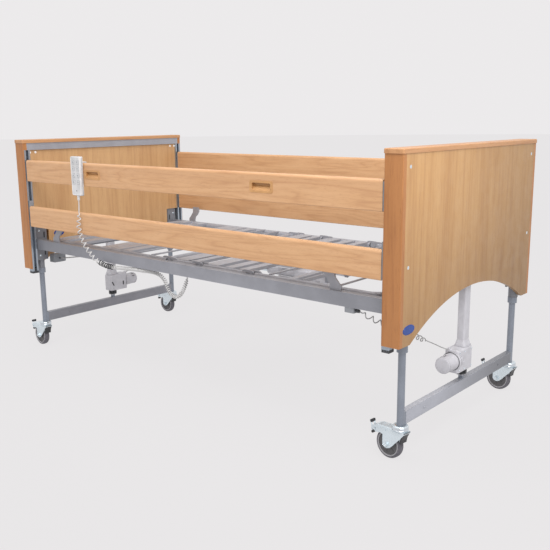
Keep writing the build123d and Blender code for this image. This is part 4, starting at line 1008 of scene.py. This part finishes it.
def flange_fittings():
    """Slots and bolts of the flanges that hold the side frame to the bed ends."""
    slots = bmesh.new()
    bolts = bmesh.new()
    for end, side in CORNERS:
        for z in (0.485, 0.612):
            screw_head(bolts, Vector((end * FLANGE_X, side * 0.452, z)), X * -end, 0.0048)
        # The slots are thin black plates on the flange: their black is painted shade for the open slots.
        for z in (0.500, 0.590):
            place = looking(Vector((end * FLANGE_X, side * 0.424, z)), X * -end)
            prism(slots, rounded(0.0075, 0.030, 0.0036, 5), place, -0.001, 0.0005)
    finish_mesh("flange_slots", slots, black_plastic, "root", sharp=40)
    finish_mesh("flange_bolts", bolts, zinc, "root", sharp=40)


cup_details("near", "near_upper")
cup_details("far", "far_upper")
board_screw_caps()
oval_plates()
cable_glands()
guide_foot_ribs()
flange_fittings()


# ---------------------------------------------------------------- floor, backdrop and light
FLOOR_WHITE = (0.84, 0.825, 0.832)
FLOOR_RADIUS = 45
# The floor reflects a small share of its light and gives off the rest, so that it stays pale and even.
FLOOR_SHARE, FLOOR_GLOW = 0.05, 0.895


def make_floor():
    bm = bmesh.new()
    prism(bm, ellipse(FLOOR_RADIUS, FLOOR_RADIUS, 64), Matrix.Identity(4), -0.02, 0.0)
    mesh = bpy.data.meshes.new("floor")
    bm.to_mesh(mesh)
    bm.free()
    floor = bpy.data.objects.new("floor", mesh)
    scene.collection.objects.link(floor)
    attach(floor, "foot_legs")  # the casters stay on the floor while the bed goes up and down
    s = Shader("floor", 0.9, Specular_IOR_Level=0.0)
    s.colour([c * FLOOR_SHARE for c in FLOOR_WHITE])
    s.bsdf.inputs["Emission Color"].default_value = (*FLOOR_WHITE, 1.0)
    s.bsdf.inputs["Emission Strength"].default_value = FLOOR_GLOW
    mesh.materials.append(s.mat)


def make_backdrop():
    world = bpy.data.worlds.new("studio")
    scene.world = world
    world.use_nodes = True
    back = world.node_tree.nodes["Background"]
    back.inputs["Color"].default_value = (*FLOOR_WHITE, 1.0)
    back.inputs["Strength"].default_value = 1.0


def lamp(name, kind, aim, place=(0, 0, 0), **own):
    data = bpy.data.lights.new(name, kind)
    for key, value in own.items():
        setattr(data, key, value)
    obj = bpy.data.objects.new(name, data)
    obj.rotation_mode = "QUATERNION"
    obj.rotation_quaternion = Vector(aim).to_track_quat("-Z", "Y")
    obj.location = place
    scene.collection.objects.link(obj)


make_floor()
make_backdrop()
lamp("key", "SUN", (-0.30, 0.42, -0.85), energy=1.0, angle=math.radians(28))
lamp("fill", "SUN", (-0.8, 0.5, -0.35), energy=0.35, angle=math.radians(50))
lamp("over_bed", "AREA", (-0.25, 0.35, -0.9), (0.35, -0.75, 2.35), energy=17, size=1.6)
lamp("over_foot", "AREA", (-0.55, 0.25, -0.8), (1.95, -0.75, 1.9), energy=12, size=1.0)
scene.view_settings.view_transform = "Standard"
scene.view_settings.look = "None"
